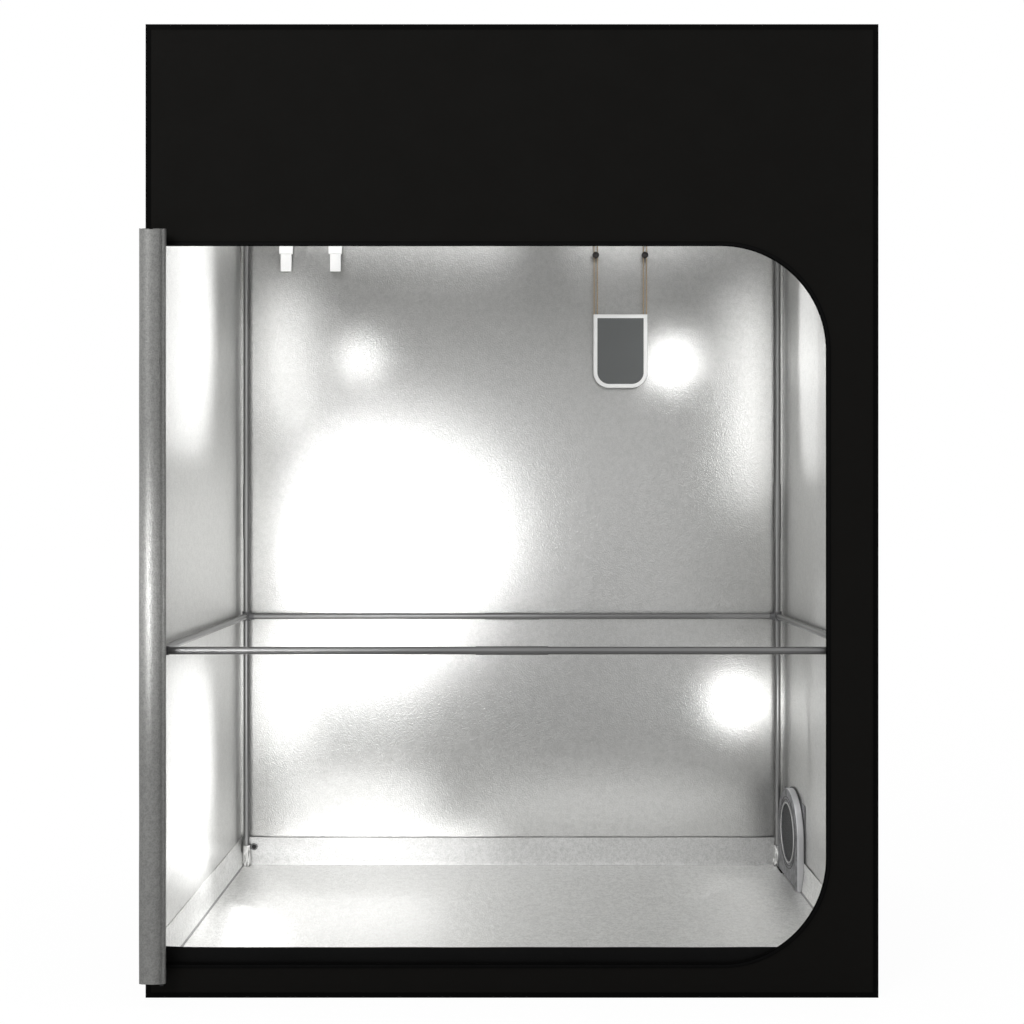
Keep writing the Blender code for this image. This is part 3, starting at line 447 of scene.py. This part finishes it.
slider_metal = Finish("slider_metal", base_color=(0.05, 0.05, 0.052), metallic=0.9, roughness=0.3)
for level in ("upper", "lower"):
    settle(nodes[f"zip_slider_{level}"], f"zip_slider_{level}", f"{level}_slider", slider_metal)


# Rolled door. One sheet, 1.36 m wide and 1.53 m high, black outside and silver inside, sewn to the left
# edge of the opening under a bound hem. It is wound from its free edge into a roll with the silver side
# outwards, and the lap next to the seam hangs a little loose.
door_lining = Finish("door_lining", metallic=0.6)
pebble = door_lining.place.pebbles(0.0036)
crinkle = door_lining.place.noise(0.010, 4, 0.65)
shade = (pebble * 0.3 + crinkle * 0.7).ramp(0.25, 0.7)
door_lining.set("Base Color", shade.tint((0.22, 0.22, 0.215), (0.33, 0.33, 0.32)))
door_lining.set("Roughness", crinkle.ramp(0.3, 0.7) * 0.10 + 0.46)
door_lining.bump(pebble * 0.7 + crinkle * 0.5, 0.0008, 0.8)

roll_centre = Vector((-0.7304, -0.4885))
seam = Vector((-0.7275, -0.45355))
roll_radius, roll_pitch, roll_cloth = 0.0255, 0.00148, 0.0009
steps_per_turn = 42
to_seam = seam - roll_centre
start = math.atan2(to_seam.y, to_seam.x) - math.acos(roll_radius / to_seam.length)
spiral = [seam]
for i in range(600):
    turn = i / steps_per_turn
    reach = roll_radius - roll_pitch * turn
    heading = start - math.tau * turn
    spiral.append(roll_centre + reach * Vector((math.cos(heading), math.sin(heading))))
travel = [0.0]
for a, b in zip(spiral, spiral[1:]):
    travel.append(travel[-1] + (b - a).length)


def on_spiral(distance):
    """Place on the wound line at a distance along the cloth from its seam."""
    for i in range(1, len(travel)):
        if travel[i] >= distance:
            share = (distance - travel[i - 1]) / (travel[i] - travel[i - 1])
            return spiral[i - 1].lerp(spiral[i], share)
    return spiral[-1]


def swell_round(angle, size, along):
    """Smooth random height, about -1 to 1, on a tube at an angle and a place along it."""
    return noise.noise(Vector((math.cos(angle) * size, math.sin(angle) * size, along)))


def turn_over():
    """Turn the faces of the active sheet over, so that it thickens to its other side."""
    bpy.ops.object.mode_set(mode="EDIT")
    bpy.ops.mesh.select_all(action="SELECT")
    bpy.ops.mesh.flip_normals()
    bpy.ops.object.mode_set(mode="OBJECT")


def smooth(piece, degrees):
    """Shade a piece smooth, except at edges sharper than that."""
    only(piece)
    bpy.ops.object.shade_smooth_by_angle(angle=math.radians(degrees))


door_width, door_low, door_high = travel[-1] - 0.002, 0.0422, 1.5727
hem = rounded_block((-0.7365, -0.4546, 0.0705), (-0.7266, -0.4521, 1.5443), 0.0008,
                    lambda middle, along: abs(along.z) > 0.9 and middle.y < -0.453, 3)
settle(hem, "door_hem_binding", "tent", binding, slot="cover_cloth")
door_columns, door_rows = 560, 44
door = put_in(bpy.ops.mesh.primitive_grid_add, x_subdivisions=door_columns, y_subdivisions=door_rows, size=1)
places = {}
for vert in door.data.vertices:
    share = vert.co.x + 0.5
    run = share * door_width
    column = round(share * door_columns)
    if column not in places:
        places[column] = on_spiral(run)
    level = door_low + (vert.co.y + 0.5) * (door_high - door_low)
    point = places[column] - roll_centre
    angle = math.atan2(point.y, point.x)
    from_end = min(level - door_low, door_high - level)
    free = min(1.0, run / 0.03)
    slant = 0.007 * free * max(0.0, -math.sin(angle)) * max(0.0, 1 - from_end / 0.10)
    wave = swell_round(angle, 1.2, level * 4.5) + 0.5 * swell_round(angle, 2.5, level * 15)
    point *= 1 + free * 0.018 * (wave - 0.6)
    loose = clamped((run - 0.014) / 0.018) * clamped((0.0505 - run) / 0.0045)
    point += point.normalized() * 0.0036 * loose
    drift = free * 0.0012 * noise.noise(Vector((angle, level * 3, share * 9)))
    level += drift + math.copysign(slant, 0.8 - level)
    vert.co = (*(roll_centre + point), level)
dress(door, door_lining, weave)
turn_over()
thicken(door, roll_cloth)
smooth(door, 40)
settle(door, "rolled_door", "door", stands_for=["door_roll"], slot="lining_cloth")


# Floor tray. A loose liner, black below and silver above. It is one cut of cloth, notched at its corners,
# whose edges turn up into four walls 98 mm high. What is left over at each corner is gathered and tied
# in a tuft round the post, and the rear wall has a dark metal eyelet.
tray_x, tray_y = 0.7425, 0.4425
tray_low, tray_rim, tray_top = 0.0027, 0.0214, 0.098
notch, rise_run = 0.0195, 0.300
turn_up = tray_top - tray_rim

tray_lining = Finish("tray_lining", metallic=1.0)
pebble = tray_lining.place.pebbles(0.0042)
crinkle = tray_lining.place.noise(0.012, 4, 0.65)
grain = (pebble * 0.3 + crinkle * 0.7).ramp(0.25, 0.7)
foil = grain.tint((0.68, 0.68, 0.67), (0.90, 0.90, 0.89))
across, away, up = tray_lining.place.axes()
sideways = across.maths("ABSOLUTE")
# Painted shade: a thin grey line along the foot of each side wall, where the floor creases up into it.
painted_crease_shade = (sideways > tray_x - 0.0042) * (sideways < tray_x - 0.0012) * (up < tray_rim + 0.006)
# Painted shade: the upright rear wall of the tray is given a darker, duller silver than the rest of it.
painted_shade_on_rear_wall = (away > tray_y - 0.004) * (up > tray_rim + 0.001)
foil = painted_shade_on_rear_wall.tint(foil, grain.tint((0.40, 0.40, 0.395), (0.56, 0.56, 0.555)))
tray_lining.set("Base Color", painted_crease_shade.tint(foil, (0.38, 0.38, 0.38)))
tray_lining.set("Roughness", crinkle.ramp(0.3, 0.7) * 0.12 + 0.42)
tray_lining.bump(pebble * 0.7 + crinkle * 0.5, 0.0009, 0.5)
tray_back = Finish("tray_black", base_color=(0.004, 0.004, 0.004), roughness=0.55, specular_ior_level=0.08)

tray = put_in(bpy.ops.mesh.primitive_grid_add, x_subdivisions=166, y_subdivisions=106, size=1)
dress(tray, tray_back, tray_lining)
tray.scale = (2 * (tray_x + turn_up), 2 * (tray_y + turn_up), 1)
bpy.ops.object.transform_apply(location=False, rotation=False, scale=True)
select_parts(tray, "FACE",
             lambda face: abs(face.center.x) > tray_x - notch and abs(face.center.y) > tray_y - notch)
bpy.ops.mesh.delete(type="FACE")
bpy.ops.object.mode_set(mode="OBJECT")


def eased(share):
    """A share from 0 to 1 with a soft start and end."""
    share = clamped(share)
    return share * share * (3 - 2 * share)


def fold_up(place):
    """Where a point of the flat cut comes to lie once the tray is folded up over the bottom bars."""
    x, y = place.x, place.y
    past_x, past_y = abs(x) - tray_x, abs(y) - tray_y
    from_corner = math.hypot(max(0.0, -past_x), max(0.0, -past_y))
    lift = 0.0028 * eased(1 - from_corner / 0.08)
    if past_x <= 0 and past_y <= 0:
        inner = max(abs(x) - (tray_x - notch - rise_run), abs(y) - (tray_y - notch - rise_run))
        level = tray_low + (tray_rim - tray_low) * eased(inner / rise_run) + lift
        middle = min(eased((tray_x - 0.05 - abs(x)) / 0.25), eased((tray_y - 0.05 - abs(y)) / 0.25))
        ripple = noise.noise(Vector((x * 3.2, y * 3.2, 4.1)))
        ripple += 0.5 * noise.noise(Vector((x * 9, y * 9, 8.3)))
        return Vector((x, y, level + middle * 0.0010 * max(0.0, ripple + 0.25)))

    past = max(past_x, past_y)
    share = past / turn_up
    on_side = past_x > past_y
    run, limit = (y, tray_y - notch) if on_side else (x, tray_x - notch)
    spread = eased(past / 0.030) * eased(1 - (limit - abs(run)) / 0.07)
    run += math.copysign(0.0165 * spread, run)
    most_lean = 0.0062 if on_side or y < 0 else 0.0022
    growth = 1.055 if not on_side and y < 0 else 1.0
    lean = eased(share * 1.3) * (most_lean + 0.0016 * noise.noise(Vector((run * 6, share * 2, 3.3 + past_x))))
    lean -= spread * 0.0016 * (1 + noise.noise(Vector((run * 60, share * 7, 7.0 + past_x))))
    level = tray_rim + lift + past * growth - 0.0010 * noise.noise(Vector((run * 5, 0, 2))) * share
    if on_side:
        return Vector((math.copysign(tray_x + lean, x), run, level))
    return Vector((run, math.copysign(tray_y + lean, y), level))


for vert in tray.data.vertices:
    vert.co = fold_up(vert.co)
turn_over()
thicken(tray)
# The cut edge on top of the walls shows the silver, except in front.
for face in tray.data.polygons:
    if face.normal.z > 0.7 and face.center.z > tray_top - 0.006 and face.center.y > -0.43:
        face.material_index = 1
cut_out(tray, rounded_block((tray_x - 0.016, 0.1840, 0.0226), (tray_x + 0.016, tray_y - 0.0015, 0.12), 0.003,
                            lambda middle, along: abs(along.x) > 0.9 and middle.z < 0.1, 3))
smooth(tray, 50)
settle(tray, "lined_tray", "tent", stands_for=["floor_tray"], slot="lining_cloth")

eyelet_metal = Finish("eyelet_metal", base_color=(0.15, 0.15, 0.15), metallic=0.9, roughness=0.4)
painted_eyelet_shade = Finish("painted_eyelet_shade", base_color=(0.004, 0.004, 0.004), roughness=0.8)
eyelet_place = (-0.7127, tray_y - 0.0006, 0.0732)
eyelet = put_in(bpy.ops.mesh.primitive_torus_add, major_radius=0.0076, minor_radius=0.0022, major_segments=32,
                minor_segments=10, location=eyelet_place, rotation=(quarter, 0, 0))
settle(eyelet, "tray_eyelet", "tent", eyelet_metal, slot="lining_cloth")
bpy.ops.object.shade_smooth()
# Painted shade: a black disc fills the eyelet's middle in place of the dark seen through its hole.
opening = put_in(bpy.ops.mesh.primitive_cylinder_add, vertices=32, radius=0.0060, depth=0.0030,
                 location=eyelet_place, rotation=(quarter, 0, 0))
settle(opening, "eyelet_opening", "tent", painted_eyelet_shade, slot="lining_cloth")

tuft_radius, tuft_wall, tuft_middle, tuft_half, tie_level = 0.0102, 0.0014, 0.0525, 0.028, 0.064
for side, to_side in (("left", -1), ("right", 1)):
    for end, to_end in (("front", -1), ("back", 1)):
        gather = put_in(bpy.ops.mesh.primitive_torus_add, major_radius=tuft_radius, minor_radius=tuft_wall,
                        major_segments=72, minor_segments=40)
        for vert in gather.data.vertices:
            angle = math.atan2(vert.co.y, vert.co.x)
            level = tuft_middle + vert.co.z / tuft_wall * tuft_half
            crease = swell_round(angle, 2.4, level * 55 + 5 * to_side + to_end)
            crease += 0.5 * swell_round(angle, 5, level * 130 + to_end)
            tied = math.exp(-((level - tie_level) / 0.006) ** 2)
            reach = math.hypot(vert.co.x, vert.co.y) + 0.0030 * crease * (1 - tied) - 0.0008 * tied
            vert.co = (reach * math.cos(angle), reach * math.sin(angle), level + 0.0015 * crease)
        gather.location = (0.732 * to_side, 0.432 * to_end, 0)
        settle(gather, f"tray_corner_{side}_{end}", "tent", lining, slot="lining_cloth")
        smooth(gather, 20)


# Frame. Plated steel tube, 16 mm across, in straight lengths that push into joint sleeves and on to the
# spigots of moulded corners. Clamps with set collars carry the mid ring on the posts.
steel = Finish("plated_steel", metallic=1.0, roughness=0.40)
rub = steel.place.noise(0.30, 3, 0.5)
steel.set("Base Color", rub.ramp(0.3, 0.7).tint((0.18, 0.18, 0.18), (0.22, 0.22, 0.218)))
steel.set("Roughness", rub.ramp(0.3, 0.7) * 0.06 + 0.37)
corner_plastic = Finish("corner_plastic", base_color=(0.085, 0.085, 0.088), roughness=0.42)
corner_plastic.bump(corner_plastic.place.noise(0.0009, 2), 0.0001, 0.5)
for name, piece in nodes.items():
    if name.startswith(("post_", "bottom_bar", "ring_bar", "top_bar", "roof_bar")):
        dress(piece, steel)
    elif name.startswith(("connector_", "ring_clamp")):
        dress(piece, corner_plastic)


# Air intake. A padded surround of grey cloth, round above and square below, sewn over the port in the
# right wall on a piped base. A bright bead rings its mouth, and a dark screen keeps insects out.
intake_cloth = Finish("intake_cloth", roughness=0.45, metallic=0.55)
crinkle = intake_cloth.place.noise(0.018, 4, 0.6)
intake_cloth.set("Base Color", crinkle.ramp(0.3, 0.7).tint((0.10, 0.10, 0.105), (0.26, 0.26, 0.27)))
intake_cloth.bump(crinkle + intake_cloth.place.pebbles(0.003) * 0.15, 0.004, 0.7)
# Painted light: a lighter copy of the surround's grey cloth, for its outer sides.
intake_side_painted_lit = Finish("intake_side_painted_lit", base_color=(0.44, 0.44, 0.45), roughness=0.42, metallic=0.55)
intake_side_painted_lit.bump(intake_side_painted_lit.place.noise(0.02, 3), 0.001, 0.4)
intake_bead = Finish("intake_bead", base_color=(0.42, 0.42, 0.415), roughness=0.38, metallic=0.6)
intake_dark = Finish("intake_piping", base_color=(0.02, 0.02, 0.021), roughness=0.5)
wall_x, intake_foot, intake_half = 0.7507, 0.0234, 0.116


def arched_block(grow, low_x, high_x):
    """A slab against the right wall, square below and round above, its outline grown by a little."""
    reach = intake_half + grow
    return rounded_block((low_x, intake_y - reach, intake_foot), (high_x, intake_y + reach, intake_z + reach),
                         reach, lambda middle, along: abs(along.x) > 0.9 and middle.z > intake_z)


def wall_cylinder(radius, low_x, high_x):
    """A disc or bore in line with the port."""
    return put_in(bpy.ops.mesh.primitive_cylinder_add, vertices=96, radius=radius, depth=high_x - low_x,
                  location=((low_x + high_x) / 2, intake_y, intake_z), rotation=(0, quarter, 0))


def cut_mouth(piece):
    """Cut the port's mouth through a piece."""
    cut_out(piece, wall_cylinder(0.0745, wall_x - 0.04, wall_x + 0.01))


surround = arched_block(0, wall_x - 0.0206, wall_x - 0.0022)
select_parts(surround, "EDGE",
             lambda edge: all(surround.data.vertices[i].co.x < wall_x - 0.02 for i in edge.vertices))
bpy.ops.mesh.bevel(offset=0.0035, segments=4, affect="EDGES")
bpy.ops.object.mode_set(mode="OBJECT")
cut_mouth(surround)
smooth(surround, 40)
settle(surround, "intake_surround", "tent", intake_cloth, intake_side_painted_lit, stands_for=["intake_sleeve"],
       slot="intake_cloth")
# Painted light: the outer sides of the surround take a lighter grey than its face, as if lit from the front.
for face in surround.data.polygons:
    reach = math.hypot(face.center.y - intake_y, max(0.0, face.center.z - intake_z))
    face.material_index = 1 if abs(face.normal.x) < 0.6 and reach > 0.1 else 0
# The dark plate reaches 3 mm past the surround's outline. It is partly real piping and partly painted contact
# shadow on the wall.
piping_and_painted_shadow = arched_block(0.003, wall_x - 0.0035, wall_x - 0.0012)
cut_mouth(piping_and_painted_shadow)
settle(piping_and_painted_shadow, "intake_piping", "tent", intake_dark, slot="intake_cloth")
backing = rounded_block((wall_x - 0.0012, intake_y - 0.1185, intake_foot),
                        (wall_x - 0.0001, intake_y + 0.1185, 0.245), 0.004,
                        lambda middle, along: abs(along.x) > 0.9, 3)
cut_mouth(backing)
settle(backing, "intake_backing", "tent", intake_cloth, slot="intake_cloth")

# Cords of cloth are sewn in circles round the mouth, sunk to half their thickness in the face.
for name, radius, thickness, inwards, finish in (("intake_bead", 0.0768, 0.0042, 0.0203, intake_bead),
                                                 ("intake_inner_seam", 0.0850, 0.0020, 0.0206, intake_dark),
                                                 ("intake_middle_seam", 0.0885, 0.0034, 0.0203, intake_cloth),
                                                 ("intake_outer_seam", 0.0930, 0.0020, 0.0206, intake_dark)):
    ring = put_in(bpy.ops.mesh.primitive_torus_add, major_radius=radius, minor_radius=thickness / 2,
                  major_segments=96, minor_segments=12, location=(wall_x - inwards, intake_y, intake_z),
                  rotation=(0, quarter, 0))
    bpy.ops.object.shade_smooth()
    settle(ring, name, "tent", finish, slot="intake_cloth")

net_step = 0.0024
screen_mesh = Finish("screen_mesh", base_color=(0.030, 0.031, 0.033), roughness=0.6)
_, away, up = screen_mesh.place.axes()
net = away.wave(net_step).maths("MAXIMUM", up.wave(net_step))
screen_mesh.set("Base Color", net.ramp(0.2, 0.8).tint((0.008, 0.008, 0.009), (0.034, 0.036, 0.038)))
screen_mesh.bump(net, 0.0006, 0.8)
screen = wall_cylinder(0.0742, 0.7326, 0.7334)
smooth(screen, 40)
settle(screen, "intake_net", "tent", screen_mesh, stands_for=["intake_screen"], slot="screen_mesh")


# Exhaust sleeve. A duct of black cloth, 153 mm across, that hangs inside from the roof round its port.
# A drawn cord gathers a cuff near its end, which closes it on a pipe.
sleeve_radius, sleeve_length, sleeve_top, cuff_drop, brim_drop = 0.0785, 0.200, 1.9975, 0.159, 0.006
sleeve_cloth = Finish("sleeve_cloth", base_color=(0.010, 0.010, 0.010), roughness=0.6, specular_ior_level=0.3)
sleeve_cloth.bump(sleeve_cloth.place.noise(0.03, 4, 0.6), 0.004, 0.4)
sleeve = put_in(bpy.ops.mesh.primitive_grid_add, x_subdivisions=216, y_subdivisions=44, size=1)
for vert in sleeve.data.vertices:
    angle = (vert.co.x + 0.5) * math.tau
    share = 0.5 - vert.co.y
    drop = share * sleeve_length
    cuff = math.exp(-((drop - cuff_drop) / 0.012) ** 2)
    hang = eased(share / 0.3)
    folds = math.cos(24 * angle) + 0.4 * math.cos(37 * angle + 1.0)
    radius = sleeve_radius + 0.0028 * cuff + (0.0004 * hang + 0.0016 * cuff) * folds
    radius += 0.0014 * hang * (1 - cuff) * swell_round(angle, 2, share * 3)
    radius += 0.0125 * eased(1 - drop / brim_drop) * (1 - drop / brim_drop)
    vert.co = (exhaust_x + radius * math.cos(angle), exhaust_y + radius * math.sin(angle), sleeve_top - drop)
bpy.ops.object.mode_set(mode="EDIT")
bpy.ops.mesh.select_all(action="SELECT")
bpy.ops.mesh.remove_doubles(threshold=0.0001)
bpy.ops.mesh.normals_make_consistent(inside=False)
bpy.ops.object.mode_set(mode="OBJECT")
dress(sleeve, sleeve_cloth)
thicken(sleeve, 0.001)
smooth(sleeve, 50)
settle(sleeve, "gathered_sleeve", "tent", stands_for=["exhaust_sleeve"], slot="sleeve_cloth")


# Hanging straps. White webbing, 30 mm wide, laid over the rear top bar with both layers side by side
# below it. A flat moulded keeper slides on both layers.
strap_width, over_bar, layer_y = 0.0295, 0.0091, 0.0009
webbing = Finish("white_webbing", base_color=(0.90, 0.90, 0.89), roughness=0.8)
run, width = webbing.cloth_place().axes()[:2]
webbing.bump(run.wave(0.0022) * width.wave(0.0026), 0.0004, 0.7)
white_plastic = Finish("white_plastic", base_color=(0.88, 0.88, 0.87), roughness=0.38)
leg = [(over_bar - 0.0082 * eased(i / 8), -0.070 * i / 8) for i in range(9)]
leg += [(layer_y, -0.16), (layer_y, -0.24), (layer_y, -0.3185)]
crown = [(over_bar * math.cos(math.pi * i / 14), over_bar * math.sin(math.pi * i / 14)) for i in range(15)]
strap_line = [*reversed(leg), *crown[1:-1], *[(-y, z) for y, z in leg]]
spans = len(strap_line) - 1
strap_travel = [0.0]
for a, b in zip(strap_line, strap_line[1:]):
    strap_travel.append(strap_travel[-1] + math.hypot(b[0] - a[0], b[1] - a[1]))
for side, strap_x in (("left", -0.6225), ("right", -0.4867)):
    strap = put_in(bpy.ops.mesh.primitive_grid_add, x_subdivisions=spans, y_subdivisions=6, size=1)
    lasting = strap.data.uv_layers[0]
    for corner in strap.data.loops:
        place = strap.data.vertices[corner.vertex_index].co
        lasting.data[corner.index].uv = (strap_travel[round((place.x + 0.5) * spans)], place.y * strap_width)
    for vert in strap.data.vertices:
        y, z = strap_line[round((vert.co.x + 0.5) * spans)]
        vert.co = (strap_x - vert.co.y * strap_width, bar_y + y, bar_z + z)
    skin = strap.modifiers.new("thickness", "SOLIDIFY")
    skin.thickness = 0.0013
    skin.offset = 0
    soften = strap.modifiers.new("edges", "BEVEL")
    soften.width = 0.0004
    soften.segments = 2
    apply_modifiers(strap)
    smooth(strap, 40)
    settle(strap, f"webbing_{side}", f"{side}_strap", webbing, stands_for=[f"hanging_strap_{side}"],
           slot="strap_webbing")
    dress(nodes[f"strap_keeper_{side}"], white_plastic)


# Pouch. A flat pocket of grey cloth, square above and round below, with a white binding folded over its
# edges. It is open at the top, between its front and its back, and hangs from the two cords.
pouch_cloth = Finish("pouch_cloth", base_color=(0.118, 0.124, 0.124), roughness=0.55)
across, _, up = pouch_cloth.place.axes()
pouch_cloth.bump(across.wave(0.0011) * up.wave(0.0011) + pouch_cloth.place.noise(0.05, 3) * 2, 0.0004, 0.5)
pouch_binding = Finish("pouch_binding", base_color=(0.90, 0.90, 0.89), roughness=0.6)
pouch_binding.bump(pouch_binding.place.noise(0.0012, 2), 0.0002, 0.6)
pouch_x, pouch_low, pouch_high, pouch_half, pouch_radius = 0.2986, 1.340, 1.542, 0.074, 0.043


def pouch_block(inset, low_y, high_y, top=0.0):
    """A slab with the pouch's outline, drawn in from its edges, its two lower corners round."""
    half = pouch_half - inset
    return rounded_block((pouch_x - half, bar_y + low_y, pouch_low + inset),
                         (pouch_x + half, bar_y + high_y, pouch_high - inset + top), pouch_radius - inset,
                         lambda middle, along: abs(along.y) > 0.9 and middle.z < 1.45, 16)


edge_strip = pouch_block(0, -0.0055, 0.0055)
cut_out(edge_strip, pouch_block(0.0105, -0.02, 0.02))
soften = edge_strip.modifiers.new("edges", "BEVEL")
soften.width = 0.0012
soften.segments = 3
soften.limit_method = "ANGLE"
apply_modifiers(edge_strip)
cut_out(edge_strip, pouch_block(0.0145, -0.0033, 0.0033, 0.04))
smooth(edge_strip, 40)
settle(edge_strip, "pouch_edge", "pouch", pouch_binding, stands_for=["pouch"], slot="pouch_cloth")
for face_name, low_y, high_y in (("front", -0.0046, -0.0034), ("back", 0.0034, 0.0046)):
    face = pouch_block(0.0098, low_y, high_y)
    settle(face, f"pouch_{face_name}", "pouch", pouch_cloth, slot="pouch_cloth")

lock_plastic = Finish("lock_plastic", base_color=(0.022, 0.018, 0.018), roughness=0.35)
for side in ("left", "right"):
    dress(nodes[f"cord_lock_{side}"], lock_plastic)


# Studio. A pale floor and white surroundings, a broad soft lamp and a small one in front, and lamps inside
# the tent whose light the lining throws back as bright patches.
floor_paint = Finish("studio_floor", base_color=(0.85, 0.85, 0.85), roughness=0.9)
ground = put_in(bpy.ops.mesh.primitive_plane_add, size=60, location=(0, 0, -0.0005))
ground.name = "studio_floor"
dress(ground, floor_paint)
glow = floor_paint.wire.node("ShaderNodeEmission", None, {"Color": (1, 1, 1, 1), "Strength": 1.06})
direct = floor_paint.wire.node("ShaderNodeLightPath")
paint = Wire(floor_paint.tree, floor_paint.shader.outputs[0])
shown_floor = floor_paint.wire.node("ShaderNodeMixShader", None, {0: direct * 0.90, 1: paint, 2: glow})
floor_paint.tree.links.new(shown_floor.socket, floor_paint.tree.nodes["Material Output"].inputs["Surface"])

to_back, to_left_wall, to_right_wall = (0, 1, 0), (-1, -2, 0), (1, -2, 0)


def lamp(name, place, power, size, facing=to_back, spread=math.pi):
    """One oval lamp of that many watts, unseen by the camera itself."""
    made = put_in(bpy.ops.object.light_add, type="AREA", location=place)
    made.name = name
    made.visible_camera = False
    made.data.energy = power
    made.data.shape = "ELLIPSE"
    made.data.size, made.data.size_y = size
    made.data.spread = spread
    made.rotation_euler = Vector(facing).to_track_quat("-Z", "Y").to_euler()


lamp("front_lamp", (-2.4, -4.4, 3.4), 60, (2.0, 2.0), (2.4, 4.4, -2.4))
lamp("roll_lamp", (-0.95, -1.7, 0.73), 1.0, (0.9, 0.22), (0.22, 1.2, 0.11), 0.5)
lamp("spot_upper_left", (-0.452, 0.15, 1.459), 0.12, (0.06, 0.06))
lamp("spot_upper_right", (0.482, 0.15, 1.447), 0.26, (0.08, 0.08))
lamp("spot_lower_right", (0.672, 0.15, 0.429), 0.32, (0.10, 0.10))
lamp("wide_left", (-0.352, -0.30, 0.95), 2.4, (0.70, 0.58))
lamp("wide_low", (-0.50, -0.30, 0.55), 1.30, (0.44, 0.52))
lamp("edge_left_low", (-0.68, 0.05, 0.41), 0.38, (0.09, 0.44))
lamp("edge_left", (-0.68, 0.05, 1.47), 0.38, (0.07, 0.50))
lamp("edge_right", (0.713, 0.05, 1.36), 0.44, (0.06, 0.70))
lamp("side_upper", (-0.625, 0.15, 1.48), 0.62, (0.18, 0.70), to_left_wall)
lamp("side_lower", (-0.625, 0.15, 0.37), 0.48, (0.18, 0.55), to_left_wall)
lamp("side_right", (0.695, 0.25, 1.45), 0.16, (0.10, 0.75), to_right_wall)
lamp("side_right_low", (0.69, 0.12, 0.50), 0.03, (0.10, 0.70), to_right_wall)
lamp("header_fill", (0.08, -0.42, 1.70), 0.46, (1.26, 0.34))
lamp("right_fill", (0.60, -0.42, 0.68), 0.33, (0.26, 1.30))
lamp("low_fill", (0.30, 0.15, 0.13), 0.15, (0.86, 0.14))
lamp("tray_glow", (-0.375, 0.22, 0.055), 0.07, (0.70, 0.03), spread=1.4)
lamp("low_left", (-0.475, 0.15, 0.13), 0.35, (0.50, 0.19))
lamp("floor_glow", (-0.44, 0.25, 0.12), 0.085, (0.56, 0.08), (0.02, -0.35, -0.09))
lamp("side_foot", (-0.66, 0.10, 0.11), 0.055, (0.12, 0.14), to_left_wall)
lamp("strap_lamp", (-0.555, 0.20, 1.92), 0.65, (0.20, 0.05), (0, 0.23, -0.22))
lamp("top_strip", (0.08, -0.05, 1.93), 1.5, (1.30, 0.08), (0, 0.50, -0.38))

# The world is white where the camera or a reflection looks straight at it, and half as bright as a light.
world = bpy.data.worlds.new("studio")
bpy.context.scene.world = world
world.use_nodes = True
sky = world.node_tree.nodes["Background"]
air = Wire(world.node_tree)
camera_ray, glossy_ray, transmission_ray = [air.node("ShaderNodeLightPath", output=i) for i in (0, 3, 6)]
looked_at = (camera_ray + glossy_ray + transmission_ray).maths("MINIMUM", 1.0)
sky.inputs["Color"].default_value = (1, 1, 1, 1)
world.node_tree.links.new((looked_at * 0.5 + 0.5).socket, sky.inputs["Strength"])
